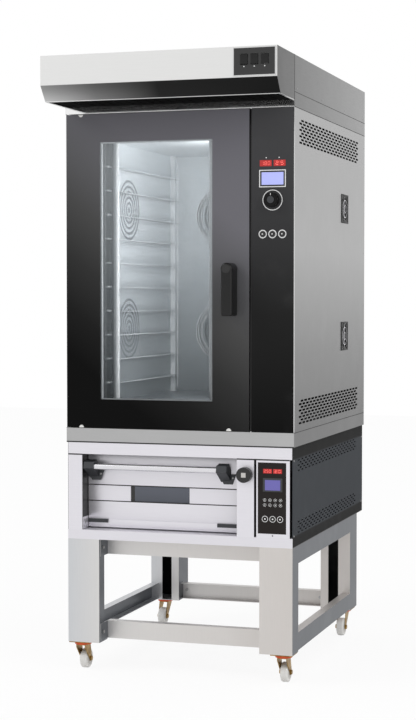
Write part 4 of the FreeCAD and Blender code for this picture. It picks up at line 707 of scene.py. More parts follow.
class Shape:
    """A mesh in the making, shaped with bmesh operators, in millimetres of the model frame."""

    TURNS = {
        Axis.X: Matrix.Rotation(math.pi / 2, 3, "Y"),
        Axis.Y: Matrix.Rotation(-math.pi / 2, 3, "X"),
        Axis.Z: Matrix.Identity(3),
    }
    CREASE = math.radians(35)
    SAME_POINT = 1e-4

    def __init__(self) -> None:
        """Start with nothing."""
        self.mesh = bmesh.new()

    def slab(self, low: Point, high: Point, edge: float = 0.0, segments: int = 2) -> "Shape":
        """Add a block with rounded edges.

        Args:
            low: Its lowest corner.
            high: Its highest corner.
            edge: The rounding's radius.
            segments: Faces in the rounding.

        Returns:
            This shape.
        """
        made = bmesh.ops.create_cube(self.mesh, size=1.0)["verts"]
        bmesh.ops.scale(self.mesh, vec=Vector(high) - Vector(low), verts=made)
        bmesh.ops.translate(self.mesh, vec=(Vector(low) + Vector(high)) / 2, verts=made)
        if edge > 0:
            edges = list({line for vert in made for line in vert.link_edges})
            bmesh.ops.bevel(
                self.mesh, geom=edges, offset=edge, offset_type="OFFSET", affect="EDGES",
                segments=segments, profile=0.5, material=-1,
            )
        return self

    def turned(
        self, axis: Axis, centre: Point, profile: Sequence[Span],
        closed: bool = False, steps: int = 32,
    ) -> "Shape":
        """Spin a profile about an axis.

        Args:
            axis: The direction of the turning axis.
            centre: A point on it.
            profile: Radii, each with its height from the centre along the axis.
            closed: Whether the last point joins the first, as in a ring.
            steps: Faces round the turn.

        Returns:
            This shape.
        """
        before = set(self.mesh.verts)
        points = [self.mesh.verts.new((radius, 0.0, height)) for radius, height in profile]
        ends = list(zip(points, points[1:]))
        if closed:
            ends.append((points[-1], points[0]))
        lines = [self.mesh.edges.new(pair) for pair in ends]
        bmesh.ops.spin(
            self.mesh, geom=points + lines, cent=(0, 0, 0), axis=(0, 0, 1),
            angle=2 * math.pi, steps=steps, use_merge=True,
        )
        made = [vert for vert in self.mesh.verts if vert not in before]
        bmesh.ops.remove_doubles(self.mesh, verts=made, dist=self.SAME_POINT)
        made = [vert for vert in self.mesh.verts if vert not in before]
        bmesh.ops.rotate(self.mesh, cent=(0, 0, 0), matrix=self.TURNS[axis], verts=made)
        bmesh.ops.translate(self.mesh, vec=centre, verts=made)
        return self

    def rod(self, axis: Axis, centre: Point, radius: float, length: float, edge: float = 0.0) -> "Shape":
        """Add a round bar from a centre along an axis, with chamfered ends; a negative length goes back."""
        step = math.copysign(edge, length)
        profile = [
            (0.0, 0.0), (radius - edge, 0.0), (radius, step),
            (radius, length - step), (radius - edge, length), (0.0, length),
        ]
        return self.turned(axis, centre, profile)

    def ring(
        self, axis: Axis, centre: Point, inner: float, outer: float, length: float, edge: float = 0.0
    ) -> "Shape":
        """Add a flat ring from a centre along an axis, with chamfered outer ends."""
        step = math.copysign(edge, length)
        profile = [
            (inner, 0.0), (outer - edge, 0.0), (outer, step),
            (outer, length - step), (outer - edge, length), (inner, length),
        ]
        return self.turned(axis, centre, profile, closed=True)

    def border(self, low: Point, high: Point, width: float) -> "Shape":
        """Add a picture frame that faces the front.

        Args:
            low: Its lowest outer corner; y is the front face.
            high: Its highest outer corner; y is the back face.
            width: The width of its bars.

        Returns:
            This shape.
        """
        corners = [(low[0], low[2]), (high[0], low[2]), (high[0], high[2]), (low[0], high[2])]
        face = self.mesh.faces.new([self.mesh.verts.new((x, low[1], z)) for x, z in corners])
        self.mesh.normal_update()
        bars = bmesh.ops.inset_region(
            self.mesh, faces=[face], thickness=width, use_even_offset=True, use_boundary=True
        )["faces"]
        bmesh.ops.delete(self.mesh, geom=[face], context="FACES_ONLY")
        grown = bmesh.ops.extrude_face_region(self.mesh, geom=bars, use_keep_orig=True)["geom"]
        moved = [item for item in grown if isinstance(item, bmesh.types.BMVert)]
        bmesh.ops.translate(self.mesh, vec=(0, high[1] - low[1], 0), verts=moved)
        return self

    def half_dome(self, centre: Point, radius: float, rise: float, side: int) -> "Shape":
        """Add half of a button that bulges to the front.

        Args:
            centre: The middle of the whole button, on the face that it sits on.
            radius: The button's radius.
            rise: How far it stands out.
            side: 1 keeps the upper half and -1 the lower half.

        Returns:
            This shape.
        """
        before = set(self.mesh.verts)
        turns = [math.pi / 2 * step / 5 for step in range(6)]
        dome = [(radius * math.cos(turn), -rise * math.sin(turn)) for turn in turns]
        self.turned(Axis.Y, centre, [(0.0, 0.0), *dome], steps=24)
        made = [vert for vert in self.mesh.verts if vert not in before]
        lines = {line for vert in made for line in vert.link_edges}
        faces = {face for vert in made for face in vert.link_faces}
        cut = bmesh.ops.bisect_plane(
            self.mesh, geom=[*made, *lines, *faces], plane_co=centre, plane_no=(0, 0, -side),
            clear_outer=True,
        )["geom_cut"]
        rim = [item for item in cut if isinstance(item, bmesh.types.BMEdge)]
        bmesh.ops.holes_fill(self.mesh, edges=rim)
        return self

    def screw(self, axis: Axis, centre: Point, radius: float, rise: float) -> "Shape":
        """Add a domed screw head with a driver recess, standing out from a face along an axis."""
        profile = [
            (0.0, 0.55 * rise), (0.30 * radius, 0.55 * rise), (0.34 * radius, rise),
            (0.65 * radius, 0.9 * rise), (0.92 * radius, 0.5 * rise), (radius, 0.0), (0.0, 0.0),
        ]
        return self.turned(axis, centre, profile, steps=16)

    def flanks(self, low: Point, high: Point, rise: float) -> "Shape":
        """Lay a thin strip on the left and on the right face of a box.

        Args:
            low: The left face's x, and the strip's lowest y and z.
            high: The right face's x, and the strip's highest y and z.
            rise: The strip's thickness.

        Returns:
            This shape.
        """
        self.slab((low[0] - rise, low[1], low[2]), (low[0], high[1], high[2]))
        return self.slab((high[0], low[1], low[2]), (high[0] + rise, high[1], high[2]))

    def side_screws(self, sides: Span, y: float, z: float, radius: float, rise: float) -> "Shape":
        """Put the same screw on the left and on the right face of a case."""
        self.screw(Axis.X, (sides[0], y, z), radius, -rise)
        return self.screw(Axis.X, (sides[1], y, z), radius, rise)

    def digits(self, text: str, low: Point, high: Point) -> "Shape":
        """Add seven-bar figures that face the front.

        Args:
            text: The figures.
            low: The lowest corner of the row; y is the front face.
            high: The highest corner of the row; y is the back face.

        Returns:
            This shape.
        """
        pitch = (high[0] - low[0]) / len(text)
        width = 0.62 * pitch
        tall = high[2] - low[2]
        bar = 0.16 * width
        for place, figure in enumerate(text):
            x = low[0] + pitch * place + 0.19 * pitch
            rows = (low[2], low[2] + tall / 2, high[2])
            for row, lit in zip(rows, LIT_ROWS[figure]):
                if lit:
                    self.slab((x + bar, low[1], row - bar / 2), (x + width - bar, high[1], row + bar / 2))
            for index, lit in enumerate(LIT_POSTS[figure]):
                if lit:
                    left = x + (index % 2) * width - bar / 2
                    base = rows[index // 2] + bar
                    self.slab((left, low[1], base), (left + bar, high[1], base + tall / 2 - 2 * bar))
        return self

    def piece(self, name: str, finish: Finish, body: Union[Body, str], slot: str) -> bpy.types.Object:
        """End the shape as an object that rides on a body.

        Args:
            name: The object's name.
            finish: Its finish.
            body: The body that carries it.
            slot: The record's material slot that it belongs to; not used.

        Returns:
            The object.
        """
        bmesh.ops.dissolve_degenerate(self.mesh, dist=self.SAME_POINT, edges=self.mesh.edges)
        bmesh.ops.recalc_face_normals(self.mesh, faces=self.mesh.faces)
        bmesh.ops.scale(self.mesh, vec=(MM, MM, MM), verts=self.mesh.verts)
        mesh = bpy.data.meshes.new(name)
        self.mesh.to_mesh(mesh)
        self.mesh.free()
        mesh.shade_smooth()
        mesh.set_sharp_from_angle(angle=self.CREASE)
        mesh.materials.append(Workshop.material(finish))
        made = bpy.data.objects.new(name, mesh)
        bpy.context.scene.collection.objects.link(made)
        carrier = body.value if isinstance(body, Body) else body
        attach(made, carrier)
        LOG.info("piece %s rides on %s", name, carrier)
        return made


# The lit bars of a seven-bar figure: rows from the bottom, posts low left, low right, high left, high right
LIT_ROWS = {"0": (1, 0, 1), "1": (0, 0, 0), "2": (1, 1, 1), "5": (1, 1, 1), "8": (1, 1, 1)}
LIT_POSTS = {"0": (1, 1, 1, 1), "1": (0, 1, 0, 1), "2": (1, 0, 0, 1), "5": (0, 1, 1, 0), "8": (1, 1, 1, 1)}


def corners(node: str) -> Tuple[Vector, Vector]:
    """The lowest and highest corners of a CAD node.

    Args:
        node: The node's name.

    Returns:
        Both corners in millimetres.
    """
    low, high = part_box(node)
    return low / MM, high / MM


def middle(node: str) -> Vector:
    """The middle of a CAD node's box, in millimetres."""
    low, high = corners(node)
    return (low + high) / 2


# Finishes of this object

BRIGHT_STEEL = BrushedSteel("bright_steel", grey(214), Axis.X, roughness=0.30)
FRAME_STEEL = BrushedSteel("frame_steel", grey(246), Axis.X, roughness=0.06, metallic=0.95)
# Painted shade on the faces that look to the right
BASE_STEEL = BrushedSteel(
    "base_steel", grey(180), Axis.X, roughness=0.36, painted_shades=(FacingPaintedShade(Axis.X, 1, grey(92)),)
)
# Painted shade: the case's sides darken towards the bottom
CASE_STEEL = BrushedSteel(
    "case_steel",
    Tint(Axis.Z, ((958, grey(82)), (1250, grey(118)), (1650, grey(167)), (2233, grey(168)))),
    Axis.Z,
)
# Painted shade: the hood's sides darken towards the front
HOOD_STEEL = BrushedSteel(
    "hood_steel",
    Tint(Axis.Y, ((-724, grey(66)), (-479, grey(84)), (-477, grey(104)), (730, grey(148)))),
    Axis.Y,
)
# Matte black of painted shade, for the hood's underside, the gap beside the control panel and the screens
# behind the side vents
PAINTED_SHADE_BLACK = Paint("painted_shade_black", grey(26), roughness=0.8, shine=0.0)
# Painted shade on the faces that look to the left or to the right
DECK_STEEL = BrushedSteel(
    "deck_steel",
    tone(232, 230, 236),
    Axis.X,
    roughness=0.38,
    metallic=0.6,
    painted_shades=(FacingPaintedShade(Axis.X, 1, grey(14)), FacingPaintedShade(Axis.X, -1, grey(14))),
)
DOOR_STEEL = BrushedSteel("door_steel", tone(234, 232, 238), Axis.X, roughness=0.36, metallic=0.6)
# Painted shade on every face of the reveals except the front ones
REVEAL_STEEL = BrushedSteel(
    "reveal_steel",
    tone(234, 232, 238),
    Axis.X,
    roughness=0.38,
    metallic=0.6,
    painted_shades=(FacingPaintedShade(Axis.Y, -1, grey(50), others=True),),
)
DECK_PAINT = Paint(
    "deck_paint",
    Tint(Axis.Z, (
        (523, grey(34)), (562, grey(36)), (568, tone(64, 67, 71)), (852, tone(66, 69, 73)),
        (860, grey(34)), (904, grey(30)),
    )),
    roughness=0.6,
    shine=0.03,
)
# A little lighter near the left legs; painted shade on the faces that look to the right and deep inside the
# rear legs
STAND_STEEL = BrushedSteel(
    "stand_steel",
    Tint(Axis.X, ((-455, tone(210, 212, 215)), (-300, tone(224, 222, 220)), (455, tone(214, 209, 205)))),
    Axis.Z,
    roughness=0.40,
    metallic=0.6,
    painted_shades=(FacingPaintedShade(Axis.X, 1, tone(88, 92, 98)), DepthPaintedShade(600, grey(16))),
)
BOLT_STEEL = BrushedSteel("bolt_steel", grey(170), Axis.Y, roughness=0.28)
ZINC = PassivatedZinc("yellow_zinc", tone(124, 94, 40), tone(170, 138, 78))
RED_PLASTIC = Plastic("red_plastic", tone(232, 84, 32), roughness=0.5)
WHITE_NYLON = Plastic("white_nylon", tone(238, 237, 234), roughness=0.5)
HUB_NYLON = Plastic("hub_nylon", tone(208, 206, 202), roughness=0.5)
BLACK_PLASTIC = Plastic("black_plastic", grey(24), roughness=0.38)
CHARCOAL_PLASTIC = Plastic("charcoal_plastic", tone(52, 54, 58), roughness=0.5)
FAN_PLASTIC = Plastic("fan_plastic", grey(16), roughness=0.45, shine=0.2)
LEVER_PLASTIC = Plastic("lever_plastic", grey(16), roughness=0.3, grain=0.02, shine=0.3)
GLOSS_PLASTIC = Plastic("gloss_plastic", grey(12), roughness=0.2, grain=0.01, shine=0.15)
# Painted shade: darker low in the oven cavity and lighter towards its roof
CAVITY_STEEL = BrushedSteel(
    "cavity_steel",
    Tint(Axis.Z, (
        (852, tone(200, 206, 210)), (1000, tone(110, 116, 120)), (1300, tone(140, 146, 150)),
        (1700, tone(186, 192, 196)), (2067, tone(206, 212, 216)),
    )),
    Axis.Z,
    roughness=0.3,
    metallic=0.35,
)
# Painted shade on the tops and, darker, on the undersides of the guides
RACK_STEEL = BrushedSteel(
    "rack_steel",
    tone(214, 218, 221),
    Axis.Y,
    roughness=0.2,
    metallic=0.3,
    painted_shades=(FacingPaintedShade(Axis.Z, 1, tone(150, 156, 160)), FacingPaintedShade(Axis.Z, -1, tone(112, 118, 122))),
)
# Dark grooves of painted reflection between the rings on the cavity's left wall
RING_REFLECTION_DARK = Paint("ring_reflection_dark", tone(84, 88, 92), roughness=0.5, shine=0.2)
BEAD_STEEL = BrushedSteel("bead_steel", tone(240, 243, 245), Axis.Z, roughness=0.2, metallic=0.3)
WHEEL_STEEL = BrushedSteel("wheel_steel", tone(176, 180, 182), Axis.Z, roughness=0.3)
SLAB_STONE = Stone("slab_stone", tone(214, 200, 178), tone(150, 128, 102))
HEATER = HeaterSheath("heater_sheath", grey(70), tone(92, 70, 62))
GASKET = Plastic("gasket_silicone", grey(30), roughness=0.7)
MOTOR_PAINT = Paint("motor_paint", grey(112), roughness=0.5)
DOOR_ENAMEL = Paint("door_enamel", grey(26), roughness=0.3)
# Painted reflection: the black panels are darkest just above the deck and lighten towards the top
PANEL_BLACK = Paint(
    "panel_black",
    Tint(Axis.Z, (
        (560, tone(44, 40, 39)), (900, tone(44, 40, 39)), (960, grey(6)), (1400, grey(33)),
        (2178, tone(79, 79, 81)),
    )),
    roughness=0.35,
    peel=0.01,
    shine=0.08,
)
SWITCH_BLACK = Plastic("switch_black", grey(38), roughness=0.4)
TUBE_STEEL = BrushedSteel("tube_steel", tone(226, 225, 229), Axis.X, roughness=0.16, metallic=0.9)
SILVER_PRINT = Paint("silver_print", grey(248), roughness=0.35, peel=0.0)
RED_LENS = Lens("red_lens", tone(120, 18, 16), tone(214, 44, 40), 0.55)
RED_LIT = Lens("red_lit", tone(240, 90, 84), tone(255, 130, 122), 0.9)
LCD_BLUE = Lens("lcd_blue", tone(150, 156, 214), tone(176, 182, 236), 0.55)
LCD_VIOLET = Lens("lcd_violet", tone(82, 77, 142), tone(106, 100, 166), 0.5)
INDICATOR = Lens("indicator", grey(190), grey(225), 0.3)
# Painted reflection: the print lightens up the door and to the right, and the window's tint lightens towards
# the top
OUTER_GLASS = PrintedGlass(
    "outer_glass",
    Tint(
        Axis.Z,
        (
            (650, grey(9)), (900, grey(9)), (1084, grey(29)), (1294, grey(52)), (1504, grey(76)),
            (1713, tone(98, 98, 101)), (1924, tone(116, 115, 121)), (2400, tone(120, 119, 126)),
        ),
        slant=0.78,
    ),
    Tint(Axis.Z, ((1071, tone(48, 52, 55)), (1500, tone(126, 132, 136)), (2067, tone(206, 212, 216)))),
    WINDOW_X,
    WINDOW_Z,
    veil=0.22,
    shine=0.06,
)
INNER_GLASS = ClearGlass("inner_glass", tone(190, 200, 204), 0.12)
# Painted reflection: both tints lighten a little towards the top
DECK_GLASS = PrintedGlass(
    "deck_glass",
    Tint(Axis.Z, ((662, grey(30)), (738, grey(36)))),
    Tint(Axis.Z, ((662, tone(84, 88, 98)), (738, tone(108, 112, 124)))),
    (-199, 25),
    (670, 730),
    veil=0.85,
)
# Painted reflection on the chin: it darkens from left to right
FASCIA_STEEL = FasciaSteel(
    "fascia_steel",
    tone(231, 231, 230),
    Tint(Axis.X, ((-460, grey(208)), (-250, grey(132)), (0, grey(34)), (460, grey(10)))),
    2261,
)


# Sub-assemblies


class Assembly:
    """A sub-assembly of the stack: finishes for its CAD nodes, and pieces that the solids leave out."""

    FINISHES: Tuple[Tuple[Any, ...], ...] = ()

    def dress(self) -> None:
        """Put each finish on the CAD nodes that are named after it."""
        for finish, *names in self.FINISHES:
            Workshop.dress(finish, *names)

    def build(self) -> None:
        """Make the added pieces; a sub-assembly may have none."""


@dataclass
class Hood(Assembly):
    """Extraction hood: fascia, canopy, filter, switches and their trim, in millimetres."""

    lip: float = 2.5
    lip_edge: float = 0.6
    lip_inset: float = 1.0
    cap_lip: float = 9.0
    frame_width: float = 3.0
    frame_rise: float = 0.7
    lamp_radius: float = 2.4
    lamp_rise: float = 1.2
    lamp_edge: float = 0.5
    lamp_level: float = 2298.0
    screw_radius: float = 3.5
    screw_rise: float = 1.6
    screw_level: float = 2248.0
    screw_rows: Tuple[float, ...] = (-440.0, -50.0, 340.0, 700.0)
    joint_width: float = 2.4
    joint_rise: float = 0.4

    FINISHES = (
        (FASCIA_STEEL, "hood_fascia"),
        (HOOD_STEEL, "hood_body", "hood_canopy"),
        # The filter takes a matte black of painted shade
        (PAINTED_SHADE_BLACK, "hood_filter"),
        (SWITCH_BLACK, "switch_plate"),
        (LEVER_PLASTIC, *ROCKERS),
        (WHEEL_STEEL, "blower_wheel"),
    )

    def build(self) -> None:
        """Make the lips, the switches' frame and lamps, the screws and the seals."""
        self.lips()
        self.switches()
        self.sides()

    def lips(self) -> None:
        """Fold a bright lip along the fascia's lower edge and back along both sides."""
        low, high = corners("hood_fascia")
        rear = corners("hood_canopy")[1].y
        bottom = low.z - self.lip / 2
        top = low.z + self.lip / 2
        lips = Shape().slab(
            (low.x + self.lip_inset, high.y - self.lip, bottom),
            (high.x - self.lip_inset, high.y + self.lip, top),
            self.lip_edge,
        )
        for left in (low.x, high.x - self.cap_lip):
            lips.slab((left, high.y, bottom), (left + self.cap_lip, rear, top), self.lip_edge)
        lips.piece("hood_lip", BRIGHT_STEEL, Body.STACK, "hood_steel")

    def switches(self) -> None:
        """Frame the switch plate and put a lamp above each rocker."""
        low, high = corners("switch_plate")
        grow = self.frame_width / 2
        rim = Shape().border(
            (low.x - grow, low.y - self.frame_rise, low.z - grow),
            (high.x + grow, high.y, high.z + grow),
            self.frame_width,
        )
        rim.piece("switch_frame", BRIGHT_STEEL, Body.STACK, "hood_steel")
        lamps = Shape()
        for rocker in ROCKERS:
            spot = (middle(rocker).x, low.y, self.lamp_level)
            lamps.rod(Axis.Y, spot, self.lamp_radius, -self.lamp_rise, self.lamp_edge)
        lamps.piece("switch_lamps", INDICATOR, Body.STACK, "panel_black")

    def sides(self) -> None:
        """Make the screws, and the seals in the joints between the canopy, the body and the case."""
        low, high = corners("hood_body")
        screws = Shape()
        for y in self.screw_rows:
            screws.side_screws((low.x, high.x), y, self.screw_level, self.screw_radius, self.screw_rise)
        screws.piece("hood_screws", BOLT_STEEL, Body.STACK, "bolt_steel")
        half = self.joint_width / 2
        chin = corners("hood_canopy")[0].z
        seals = Shape()
        seals.flanks((low.x, low.y - half, chin), (high.x, low.y + half, high.z), self.joint_rise)
        seals.flanks((low.x, low.y, low.z - half), (high.x, high.y, low.z + half), self.joint_rise)
        seals.piece("hood_seals", GASKET, Body.STACK, "gasket_rubber")


@dataclass
class OvenCase(Assembly):
    """Sheet case of the convection oven with its fans, screws, strips and seals, in millimetres."""

    guard_radii: Tuple[float, ...] = (18.0, 38.0)
    guard_wire: float = 2.6
    guard_bar_rise: float = 1.4
    guard_bar_edge: float = 0.4
    fan_half: float = 60.0
    fan_bar: float = 6.0
    fan_corner: float = 20.0
    fan_rise: float = 2.4
    fan_sink: float = 0.2
    fan_edge: float = 0.5
    corner_drop: float = 0.3
    ring_drop: float = 0.1
    screw_radius: float = 3.2
    screw_rise: float = 1.4
    screw_margin: float = 14.0
    screw_pitch: float = 230.0
    joint_width: float = 2.4
    joint_rise: float = 0.4
    foot_joint: float = 5.0
    trim_width: float = 2.6
    trim_rise: float = 0.6
    trim_clear: float = 0.4
    trim_depth: float = 3.0
    trim_edge: float = 0.3
    gap_width: float = 5.8
    screen_inset: float = 10.0
    screen_drop: float = 180.0
    screen_sheet: float = 1.0

    FINISHES = (
        (CASE_STEEL, "oven_side_panels", "oven_rear_cover"),
        (FRAME_STEEL, "oven_front_frame"),
        (BASE_STEEL, "oven_base"),
        (GASKET, "door_gasket"),
        (FAN_PLASTIC, "cooling_fan_frames", *COOLING_ROTORS),
    )

    def build(self) -> None:
        """Make the fans' guards and rims, the screws, the strips, the seals, the header and the screens."""
        self.fans()
        self.screws()
        self.panel_strips()
        self.base_joint()
        self.header_bands()
        self.vent_shade_screens()
        self.case_edge()

    def fans(self) -> None:
        """Put a wire guard and a square rim over each cooling fan."""
        side = corners("oven_side_panels")[1].x
        wire = self.guard_wire
        reach = self.fan_half
        guards = Shape()
        rims = Shape()
        for rotor in COOLING_ROTORS:
            _, y, z = middle(rotor)
            for radius in self.guard_radii:
                guards.ring(Axis.X, (side, y, z), radius - wire, radius, wire, self.fan_edge)
            guards.slab(
                (side - self.fan_sink, y - wire / 2, z - reach),
                (side + self.guard_bar_rise, y + wire / 2, z + reach),
                self.guard_bar_edge,
            )
            self.fan_rim(rims, side, y, z)
        guards.piece("fan_guards", TUBE_STEEL, Body.STACK, "case_steel")
        rims.piece("fan_rims", FAN_PLASTIC, Body.STACK, "fitting_grey")

    def fan_rim(self, shape: Shape, side: float, y: float, z: float) -> None:
        """Add the square rim of an axial fan on the side panel.

        The level bars and the corners end inside the upright bars.

        Args:
            shape: The shape that takes it.
            side: The panel's outer face.
            y: The fan's middle along the depth.
            z: The fan's middle along the height.
        """
        half = self.fan_half
        bar = self.fan_bar
        inner = side - self.fan_sink
        outer = side + self.fan_rise
        nook_face = outer - self.corner_drop
        tuck = half - bar / 2
        edge = self.fan_edge
        for step in (-1, 1):
            near, far = sorted((step * half, step * (half - bar)))
            shape.slab((inner, y + near, z - half), (outer, y + far, z + half), edge)
            shape.slab((inner, y - tuck, z + near), (outer, y + tuck, z + far), edge)
            near, far = sorted((step * tuck, step * (half - self.fan_corner)))
            for turn in (-1, 1):
                foot, head = sorted((turn * tuck, turn * (half - self.fan_corner)))
                shape.slab((inner, y + near, z + foot), (nook_face, y + far, z + head), edge)
        depth = self.fan_rise - self.ring_drop
        shape.ring(Axis.X, (inner, y, z), half - 2 * bar, half - bar / 2, depth, edge)

    def screws(self) -> None:
        """Make the screws along the rear of both sides and on the rear cover."""
        low, high = corners("oven_side_panels")
        back = corners("oven_rear_cover")[1].y
        margin = self.screw_margin
        count = int((high.z - low.z - 2 * margin) // self.screw_pitch) + 1
        screws = Shape()
        for step in range(count):
            z = low.z + margin + step * self.screw_pitch
            screws.side_screws((low.x, high.x), high.y - margin, z, self.screw_radius, self.screw_rise)
            for x in (low.x + margin, 0.0, high.x - margin):
                screws.screw(Axis.Y, (x, back, z), self.screw_radius, self.screw_rise)
        screws.piece("case_screws", BOLT_STEEL, Body.STACK, "bolt_steel")

    def panel_strips(self) -> None:
        """Make the dark trim, and a matte black strip of painted shadow in the gap between the door and the
        control panel.
        """
        corner = corners("control_panels")[0]
        bottom, top = (end.z for end in corners("door_outer_glass"))
        back = corner.y + self.trim_depth
        trim = Shape().slab(
            (corner.x - self.trim_width, corner.y - self.trim_rise, bottom),
            (corner.x - self.trim_clear, back, top),
            self.trim_edge,
        )
        trim.piece("panel_trim", DOOR_ENAMEL, Body.STACK, "door_black")
        # Painted shadow: a matte black strip that hides the door's lit edge in the gap
        gap = Shape().slab(
            (corner.x - self.gap_width, corner.y + self.trim_rise, bottom),
            (corner.x - self.trim_width, back, top),
        )
        gap.piece("panel_gap_shadow", PAINTED_SHADE_BLACK, Body.STACK, "door_black")

    def case_edge(self) -> None:
        """Make the bright edge between the control panel and the right side."""
        low, high = corners("control_panels")
        bottom, top = (end.z for end in corners("door_outer_glass"))
        side = corners("oven_side_panels")[1].x
        edge = Shape().slab(
            (high.x, low.y - self.trim_rise, bottom),
            (side + self.trim_rise, low.y + self.trim_depth, top),
            self.trim_edge,
        )
        edge.piece("case_edge", BRIGHT_STEEL, Body.STACK, "case_steel")

    def base_joint(self) -> None:
        """Make the seals above the base, along both sides, and below it, along the front."""
        low, high = corners("oven_base")
        half = self.joint_width / 2
        seal = Shape()
        seal.flanks((low.x, low.y, high.z - half), (high.x, high.y, high.z + half), self.joint_rise)
        half = self.foot_joint / 2
        seal.slab((low.x, low.y - self.joint_rise, low.z - half), (high.x, low.y, low.z + half))
        seal.piece("base_seal", GASKET, Body.STACK, "gasket_rubber")

    def header_bands(self) -> None:
        """Lay the header's sheet over the top of both side panels, with a dark joint below it."""
        low, high = corners("oven_side_panels")
        foot = corners("control_panels")[1].z
        half = self.joint_width / 2
        rise = self.joint_rise
        bands = Shape().flanks((low.x, low.y, foot + half), (high.x, high.y, high.z - half), rise)
        bands.piece("header_sheets", HOOD_STEEL, Body.STACK, "case_steel")
        seams = Shape().flanks((low.x, low.y, foot - half), (high.x, high.y, foot + half), rise)
        seams.piece("header_seams", GASKET, Body.STACK, "gasket_rubber")

    def vent_shade_screens(self) -> None:
        """Hang a dark screen of painted shade behind the upper slots of both side panels."""
        low, high = corners("oven_side_panels")
        foot = high.z - self.screen_drop
        front = corners("oven_front_frame")[1].y
        inset = self.screen_inset
        sheet = self.screen_sheet
        screens = Shape()
        for left in (low.x + inset, high.x - inset - sheet):
            screens.slab((left, front, foot), (left + sheet, high.y - inset, high.z - inset))
        screens.piece("vent_shade_screens", PAINTED_SHADE_BLACK, Body.STACK, "case_steel")


@dataclass
class OvenDoor(Assembly):
    """Glazed oven door with its spacer, stops and lever, in millimetres."""

    window_x: Span = WINDOW_X
    window_z: Span = WINDOW_Z
    spacer_cover: float = 4.0
    spacer_width: float = 9.0
    spacer_gap: float = 2.0
    spacer_depth: float = 12.0
    stop_radius: float = 10.0
    stop_rise: float = 4.0
    stop_left: float = -397.0
    stop_right: float = 204.0
    cap_radius: float = 16.0
    cap_rise: float = 1.6
    cap_edge: float = 0.4
    cap_rim: float = 2.0
    cap_rim_edge: float = 0.5

    FINISHES = (
        (DOOR_ENAMEL, "oven_door_frame"),
        (OUTER_GLASS, "door_outer_glass"),
        (INNER_GLASS, "door_inner_glass"),
        (LEVER_PLASTIC, "door_handle"),
        (BOLT_STEEL, "hinge_pins"),
    )

    def build(self) -> None:
        """Make the spacer behind the print, the round stops and the lever's screw cap."""
        low, high = corners("door_outer_glass")
        cover = self.spacer_cover
        front = high.y + self.spacer_gap
        spacer = Shape().border(
            (self.window_x[0] - cover, front, self.window_z[0] - cover),
            (self.window_x[1] + cover, front + self.spacer_depth, self.window_z[1] + cover),
            self.spacer_width,
        )
        spacer.piece("glass_spacer", RACK_STEEL, Body.OVEN_DOOR, "cavity_steel")

        stops = Shape()
        for x, z, side in (
            (self.stop_left, low.z, 1), (self.stop_right, low.z, 1), (self.stop_left, high.z, -1),
        ):
            stops.half_dome((x, low.y, z), self.stop_radius, self.stop_rise, side)
        stops.piece("door_stops", WHITE_NYLON, Body.OVEN_DOOR, "white_nylon")

        low, high = corners("door_handle")
        spot = ((low.x + high.x) / 2, low.y, high.z - (high.x - low.x) / 2)
        radius = self.cap_radius
        cap = Shape().rod(Axis.Y, spot, radius, -self.cap_rise / 2, self.cap_edge)
        cap.ring(Axis.Y, spot, radius - self.cap_rim, radius, -self.cap_rise, self.cap_rim_edge)
        cap.piece("lever_cap", BLACK_PLASTIC, Body.DOOR_HANDLE, "knob_black")


